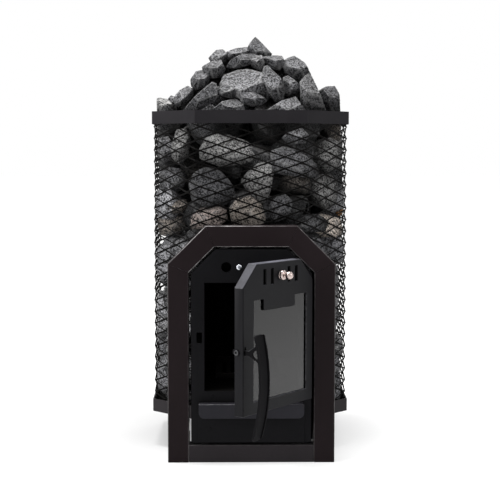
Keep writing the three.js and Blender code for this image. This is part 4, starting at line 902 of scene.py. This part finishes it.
def keepClear(node, points):
    for normal, out in sidePlanes:
        over = np.maximum((points - cageAxis) @ normal - out, 0)
        points -= over[:, None] * normal
    points[:, 2] = np.maximum(points[:, 2], rocks["pan"])
    x, y, z = points.T  # views, so the points move with them
    inFire = (abs(x) < rocks["fireSide"]) & (y > rocks["fireFront"]) & (y < rocks["fireRear"]) & (z < rocks["roof"])
    if node == "stones_left":
        x[inFire] = -rocks["fireSide"]
        np.minimum(x, -rocks["tunnelSide"], out=x)
    elif node == "stones_right":
        x[inFire] = rocks["fireSide"]
        np.maximum(x, rocks["tunnelSide"], out=x)
    elif node == "stones_front":
        y[inFire] = rocks["fireFront"]
        np.maximum(z, rocks["tunnelTop"], out=z)
    elif node == "stones_rear":
        y[inFire] = rocks["fireRear"]
    else:
        z[inFire] = rocks["roof"]
        np.maximum(z, rocks["roof"] - 0.05, out=z)
        away = points[:, :2] - (0, flue["axis"])
        reach = np.linalg.norm(away, axis=1)
        push = np.maximum(rocks["flueClear"] - reach, 0) * (z < flue["top"] + 0.02)
        points[:, :2] += away / np.maximum(reach, 1e-4)[:, None] * push[:, None]
    return points


def addRock(pile, centre, planes, turn, tint, detail, rng):
    verts = bmesh.ops.create_icosphere(pile.bm, subdivisions=detail, radius=1)["verts"]
    ways = np.array([v.co for v in verts])
    flats = np.array([normal / reach for normal, reach in planes])
    ratios = np.maximum(ways @ flats.T, 1e-6)
    reach = (ratios ** rocks["crisp"]).sum(1) ** (-1 / rocks["crisp"])
    ordered = np.sort(ratios, axis=1)
    # the ridges where two faces meet, which get the painted edge highlight
    edge = np.clip(1 - (ordered[:, -1] - ordered[:, -2]) / (0.05 * ordered[:, -1]), 0, 1)
    start = Vector((rng.uniform(-50, 50), rng.uniform(-50, 50), rng.uniform(-50, 50)))
    for i, way in enumerate(ways):
        spot = Vector(way)
        swell = 0.7 * noise.fractal(spot * 1.8 + start, 0.8, 2.1, 3) + 0.6 * noise.fractal(spot * 6.5 + start, 0.6, 2.1, 3)
        reach[i] *= 1 + rocks["rough"] * swell
    points = (ways * reach[:, None]) @ np.array(turn.transposed()) + np.array(centre)
    points = keepClear(pile.node, points)
    lift = rng.uniform(0.88, 1.14)
    deep = np.min([out - (points - cageAxis) @ normal for normal, out in sidePlanes], axis=0)
    inside = np.interp(deep, rocks["hiddenShadeFrom"], (1.0, rocks["hiddenShade"]))  # painted shade: darker away from the net
    inside[points[:, 2] > cage["rim"]] = 1
    # painted shade: the rear part of each stone is darker, for the shade in the gaps between stones
    back = 1.0 if centre.y > 0.26 else 0.5 if centre.z > cage["rim"] else rocks["hiddenShade"]
    behind = np.interp((points[:, 1] - centre.y) / np.ptp(points[:, 1]), (-0.3, 0.12), (1.0, back))
    # painted shade: darker towards the bottom of each stone
    under = np.interp((points[:, 2] - centre.z) / np.ptp(points[:, 2]), (-0.5, -0.1), (rocks["under"], 1.0))
    hiddenShade = np.minimum(inside, behind) * under
    # the stone's tint carries the painted shade
    for vert, place, wornAndLit, dark in zip(verts, points, edge, hiddenShade):
        vert.co = place
        vert[pile.mask] = wornAndLit * dark
        vert[pile.tint] = (tint[0] * lift * dark, tint[1] * lift * dark, tint[2] * lift * dark, 1)


def randomPlanes(rng, sizes):
    planes = []
    for i in range(13):
        up = 1 - 2 * (i + 0.5) / 13
        angle = i * 2.39996 + rng.uniform(-0.5, 0.5)
        ring = math.sqrt(1 - up * up)
        normal = Vector((ring * math.cos(angle), ring * math.sin(angle), up))
        normal = Vector((normal.x / sizes[0], normal.y / sizes[1], normal.z / sizes[2]))
        planes.append((np.array(normal.normalized()), rng.uniform(0.7, 1.0) / normal.length))
    return planes


def shownRock(pile, outline, depth, thick, tint, detail, rng):
    # outline is in pixels, so the stone shows with that shape from the front
    points = [photoPoint(u, v, depth) for u, v in outline]
    centre = sum(points, Vector()) / len(points)
    planes = []
    for first, second in zip(points, points[1:] + points[:1]):
        side = Vector((second.x - first.x, 0, second.z - first.z)).normalized()
        out = Vector((-side.z, 0, side.x))
        if out.dot(first - centre) < 0:
            out = -out
        planes.append((np.array(out), out.dot(first - centre)))
    away = [point - centre for point in points]
    tall = max(spot.z for spot in away)
    peak = Vector((rng.uniform(-0.25, 0.25) * max(spot.x for spot in away), -thick / 2, rng.uniform(-0.45, 0.15) * tall))
    for turn, least, most in ((1.57, 0.75, 1.25), (3.7, 0.5, 1.05), (5.6, 0.5, 1.05), (rng.choice((0.1, 3.0)), 0.35, 0.9)):
        turn += rng.uniform(-0.45, 0.45)  # broken faces that fall away from one peak, one of them to the top
        way = Vector((math.cos(turn), 0, math.sin(turn)))
        run = max(way.dot(spot - peak) for spot in away)
        slope = math.atan(rng.uniform(least, most) * thick / 2 / run)
        face = way * math.sin(slope) - Vector((0, math.cos(slope), 0))
        planes.append((np.array(face), face.dot(peak)))
    for _ in range(rocks["chips"]):
        turn, slope = rng.uniform(0, 2 * math.pi), math.radians(rng.uniform(36, 58))
        way = Vector((math.cos(turn), 0, math.sin(turn)))
        face = way * math.cos(slope) - Vector((0, math.sin(slope), 0))
        spot = way * max(way.dot(spot) for spot in away) * rng.uniform(0.84, 0.96)
        planes.append((np.array(face), face.dot(spot - Vector((0, thick * 0.2, 0)))))
    for across, up in ((0.3, 0.2), (-0.3, -0.1)):
        face = Vector((across + rng.uniform(-0.3, 0.3), 1, up + rng.uniform(-0.3, 0.3))).normalized()
        planes.append((np.array(face), thick / 2 * rng.uniform(0.8, 1.0)))
    addRock(pile, centre, planes, Matrix.Identity(3), tint, detail, rng)


heapRocks = (  # outline, depth, thickness, tint
    (((246.4, 50), (250, 43), (255.2, 36.6), (259, 40), (272.5, 54.8), (262, 57.5), (249, 56)), 0.238, 0.075, greys[2]),
    (((224.5, 53), (235, 48.5), (247, 46.8), (251, 50), (244, 57), (230, 61), (225, 59)), 0.232, 0.085, greys[1]),
    (((208.5, 58), (216, 50), (223, 49), (230, 57), (226, 64), (212, 64)), 0.225, 0.085, greys[0]),
    (((226, 66.5), (231, 60), (243, 54), (255, 53.5), (259.5, 58), (250, 65), (238, 69), (227, 68.5)), 0.200, 0.08, greys[2]),
    (((202, 67), (210, 62), (221, 60), (225.6, 69), (222, 77.5), (212, 79), (204, 74)), 0.198, 0.085, greys[0]),
    (((190.5, 80), (196, 71), (204, 69.5), (211, 77), (206, 87), (197, 90.5), (191, 86)), 0.190, 0.085, greys[2]),
    (((250.1, 62), (255, 56), (262, 55.5), (265, 63), (262.5, 72), (252, 67)), 0.190, 0.07, greys[4]),
    (((262.5, 57), (274, 55), (282, 55.5), (284.7, 62), (280, 71), (268, 69)), 0.205, 0.085, greys[0]),
    (((279.6, 64), (287, 58), (296, 55), (300, 55.5), (304, 63), (312, 69), (317.8, 80), (316, 89), (300, 83), (285, 73)), 0.208, 0.09, greys[1]),
    (((219.5, 84), (224, 75), (238, 69.5), (250, 69), (262, 73), (271, 84), (272, 97), (262, 104), (240, 99), (226, 95), (220, 90)), 0.160, 0.10, greys[3]),
    (((238, 95), (243, 92.5), (254, 92.5), (262, 96), (268, 100.5), (262, 105), (252, 106.8), (242, 103.5)), 0.122, 0.055, greys[2]),
    (((261.3, 77), (264, 66), (268, 65.3), (282, 80), (285.2, 92), (281, 101), (276, 102.6), (268, 92)), 0.128, 0.07, greys[3]),
    (((282.8, 78), (288, 75.3), (299, 84), (300, 91), (293, 97.5), (285, 96)), 0.150, 0.075, greys[0]),
    (((299.7, 82), (305, 76), (309, 73.4), (312.3, 77), (326.3, 111), (303, 112), (300.3, 104)), 0.138, 0.085, greys[4]),
    (((318.5, 91), (325, 87), (334.5, 86), (338.5, 94), (340.3, 112), (326, 113), (320, 102)), 0.205, 0.085, greys[2]),
    (((180.5, 110), (196, 96), (210, 80.2), (216.5, 84), (217.5, 97), (212, 107), (200, 113), (183, 113)), 0.13, 0.07, greys[2]),
    (((173.5, 102), (180, 90), (188, 85.8), (195, 90), (192.5, 97), (184, 106), (176, 107)), 0.190, 0.085, greys[0]),
    (((166.5, 101), (171, 95.2), (176, 97), (175, 105), (168, 105)), 0.225, 0.06, greys[2]),
    (((155.2, 106), (156, 99), (160, 97.5), (167, 99), (177, 108), (177, 113.5), (157, 113.5)), 0.215, 0.075, pale),
    (((210.3, 111), (222, 102), (236, 98.3), (243.5, 104), (246, 113.5), (212, 113.5)), 0.112, 0.08, greys[1]),
    (((265.2, 111), (281, 101), (296, 96.2), (300.6, 104), (301, 113.5), (268, 113.5)), 0.108, 0.075, greys[3]),
    (((217.5, 90), (224, 84), (233, 86), (238.5, 95), (233, 99), (220, 96)), 0.132, 0.055, greys[2]),
)
shadeBackRocks = (  # painted shade: near-black stones behind the heap that show in its gaps
    (((222, 58), (245, 52), (262, 58), (262, 80), (240, 85), (222, 75)), 0.248, 0.07),
    (((255, 58), (280, 58), (298, 70), (296, 92), (270, 92), (255, 80)), 0.246, 0.07),
    (((200, 72), (222, 66), (240, 75), (236, 100), (205, 104), (196, 92)), 0.238, 0.07),
    (((288, 72), (308, 74), (316, 92), (312, 113), (290, 108)), 0.230, 0.07),
    (((178, 97), (195, 86), (215, 90), (215, 113), (180, 113)), 0.225, 0.07),
    (((236, 72), (265, 72), (285, 95), (270, 114), (240, 114), (228, 95)), 0.215, 0.06),
    (((310, 93), (322, 90), (332, 100), (330, 114), (310, 114)), 0.240, 0.07),
    (((160, 105), (172, 100), (184, 104), (184, 114), (160, 114)), 0.262, 0.07),
)
cageRocks = (  # outline, depth behind the net, thickness, tint
    (((199, 150), (205, 138), (215, 134), (228, 135), (245, 140), (262, 145), (266, 152), (258, 160), (240, 165), (222, 167), (200, 160)), 0.034, 0.055, pale),
    (((270, 152), (278, 146), (290, 148), (305, 155), (318, 165), (322, 173), (315, 179), (300, 177), (282, 176), (271, 170)), 0.034, 0.055, greys[1]),
    (((240, 182), (247, 172), (258, 163), (268, 161), (274, 168), (272, 185), (268, 200), (262, 205), (256, 200), (248, 191)), 0.03, 0.045, pale),
    (((188, 183), (195, 172), (206, 167), (220, 170), (229, 180), (237, 191), (235, 200), (226, 205), (205, 207), (192, 200)), 0.04, 0.06, greys[2]),
    (((229, 208), (236, 198), (250, 195), (262, 205), (266, 218), (262, 226), (232, 226)), 0.03, 0.045, brown),
    (((269, 205), (275, 196), (285, 194), (292, 200), (292, 210), (286, 218), (276, 222), (269, 215)), 0.034, 0.05, greys[2]),
    (((310, 150), (318, 140), (330, 137), (340, 143), (342, 156), (338, 168), (325, 173), (312, 166)), 0.034, 0.06, pale),
    (((303, 185), (315, 175), (330, 173), (338, 182), (338, 200), (328, 211), (312, 205)), 0.034, 0.06, pale),
    (((281, 138), (290, 130), (302, 128), (309, 135), (306, 143), (290, 145)), 0.04, 0.05, greys[1]),
    (((171, 146), (176, 130), (186, 128), (191, 140), (188, 158), (178, 165), (172, 158)), 0.032, 0.05, pale),
    (((157, 150), (160, 138), (168, 136), (174, 146), (172, 160), (163, 165)), 0.03, 0.05, greys[3]),
    (((160, 178), (168, 167), (180, 168), (188, 176), (184, 188), (172, 197), (162, 192)), 0.032, 0.05, greys[1]),
    (((165, 207), (176, 200), (186, 199), (190, 206), (181, 213), (168, 214)), 0.03, 0.045, brown),
    (((188, 219), (200, 208), (215, 205), (227, 210), (228, 220), (215, 229), (190, 229)), 0.03, 0.045, pink),
    (((333, 204), (336, 194), (342, 195), (344, 207), (340, 217), (334, 214)), 0.03, 0.04, ochre),
    (((286, 223), (300, 214), (318, 214), (331, 222), (326, 232), (290, 232)), 0.036, 0.05, greys[0]),
    (((157, 221), (166, 214), (182, 215), (188, 224), (182, 234), (160, 234)), 0.034, 0.05, brown),
)


def cageDepth(across, down, inset):
    ray, place = photoRay(across, down), Vector(shot["place"]) - Vector(cageAxis)
    inside = []
    for i in range(8):
        facing = sideNormal(i).dot(ray)
        if facing < -0.05:
            inside.append((sideOut(i) - inset - sideNormal(i).dot(place)) / facing)
    return shot["place"][1] + ray.y * max(inside)


def fillRocks(pile, low, high, pitch, sizes, seed, detail, shade=1.0, keep=None):
    rng = random.Random(seed)
    counts = [max(1, round((b - a) / p)) for a, b, p in zip(low, high, pitch)]
    for k in range(counts[2]):
        for j in range(counts[1]):
            for i in range(counts[0]):
                shares = [(n + 0.5 + rng.uniform(-0.24, 0.24)) / c for n, c in zip((i, j, k), counts)]
                centre = Vector([a + (b - a) * s for a, b, s in zip(low, high, shares)])
                turn = Euler((rng.uniform(-0.5, 0.5), rng.uniform(-0.5, 0.5), rng.uniform(0, 3.1))).to_matrix()
                reach = [rng.uniform(*sizes) * stretch for stretch in (1.25, 0.95, 0.8)]
                rng.shuffle(reach)
                tint = rng.choice(greys + greys + (brown, pale, greys[2]))
                planes = randomPlanes(rng, reach)
                for normal, away in sidePlanes:  # pull stones that lie outside the cage back in
                    over = (np.array(centre) - cageAxis) @ normal - away + 0.6 * min(reach)
                    centre -= Vector(normal) * max(over, 0)
                if keep is None or keep(centre, max(reach)):
                    addRock(pile, centre, planes, turn, [tone * shade for tone in tint], detail, rng)


def behindShown(centre, reach):
    return centre.z < 0.54 or centre.y > 0.17


def behindNet(centre, reach):
    depths = [sidePlanes[i][1] - (np.array(centre) - cageAxis) @ sidePlanes[i][0] for i in (0, 1, 7)]
    return min(depths) > 0.066


def underHeap(centre, reach):
    ring = Vector((centre.x, centre.y - cage["middle"])).length / cage["half"]
    return centre.z + reach * 0.8 < cage["rim"] + 0.115 * (1 - ring * ring)


def makeStones():
    piles = {name: Pile(name) for name in frame["nodes"] if name.startswith("stones_")}
    rng = random.Random(7)
    for outline, depth, thick, tint in heapRocks:
        shownRock(piles["stones_crown_front"], outline, depth, thick, [tone * rocks["heaped"] for tone in tint], 5, rng)
    for outline, depth, thick in shadeBackRocks:
        # painted shade: the stones behind the heap are near black
        shownRock(piles["stones_crown_front"], outline, depth, thick, [0.035] * 3, 4, rng)
    for outline, inset, thick, tint in cageRocks:
        across, down = (sum(values) / len(outline) for values in zip(*outline))
        depth = cageDepth(across, down, inset)
        spot = photoPoint(across, down, depth)
        pile = "stones_left" if spot.x < -rocks["fireSide"] else "stones_right" if spot.x > rocks["fireSide"] else "stones_front"
        if spot.z > rocks["roof"]:
            pile = "stones_crown_front"
        shownRock(piles[pile], outline, depth, thick, [tone * rocks["cageShade"] for tone in tint], 4, rng)
    for side, name, shade in ((-1, "stones_left", 2.2), (1, "stones_right", 2.0)):
        edges = sorted((side * 0.155, side * 0.228))
        fillRocks(piles[name], (edges[0], 0.075, 0.1), (edges[1], 0.53, 0.645), (0.1, 0.078, 0.063), (0.041, 0.055), 11 + side, 4, shade, behindShown)
    fillRocks(piles["stones_rear"], (-0.15, 0.503, 0.1), (0.15, 0.54, 0.645), (0.078, 0.1, 0.066), (0.044, 0.06), 31, 4, 0.8)
    fillRocks(piles["stones_front"], (-0.15, 0.126, 0.45), (0.15, 0.132, 0.64), (0.085, 0.1, 0.066), (0.042, 0.058), 41, 3, 0.3)
    crown = piles["stones_crown_front"]
    fillRocks(crown, (-0.235, 0.105, 0.65), (0.235, 0.285, 0.85), (0.085, 0.065, 0.067), (0.045, 0.062), 51, 4, 0.4, behindNet)
    for side, name in ((-1, "stones_crown_left"), (1, "stones_crown_right")):
        edges = sorted((side * 0.08, side * 0.238))
        fillRocks(piles[name], (edges[0], 0.29, 0.66), (edges[1], 0.54, 0.85), (0.085, 0.085, 0.07), (0.045, 0.062), 61 + side, 4, 0.8)
        fillRocks(piles[name], (edges[0], 0.29, 0.85), (edges[1], 0.52, 1.0), (0.075, 0.08, 0.06), (0.04, 0.056), 71 + side, 4, 1.0, underHeap)
    fillRocks(piles["stones_crown_rear"], (-0.075, 0.45, 0.66), (0.075, 0.54, 0.85), (0.08, 0.08, 0.07), (0.045, 0.06), 81, 4, 0.8)
    fillRocks(crown, (-0.22, 0.17, 0.85), (0.22, 0.28, 1.02), (0.08, 0.07, 0.055), (0.04, 0.054), 91, 4, 0.6, underHeap)
    for name, pile in piles.items():
        standFor(makeObject(name + "_rocks", pile.bm, finishes["stoveStone"], 24), name)


makeStones()
print("stones piled")
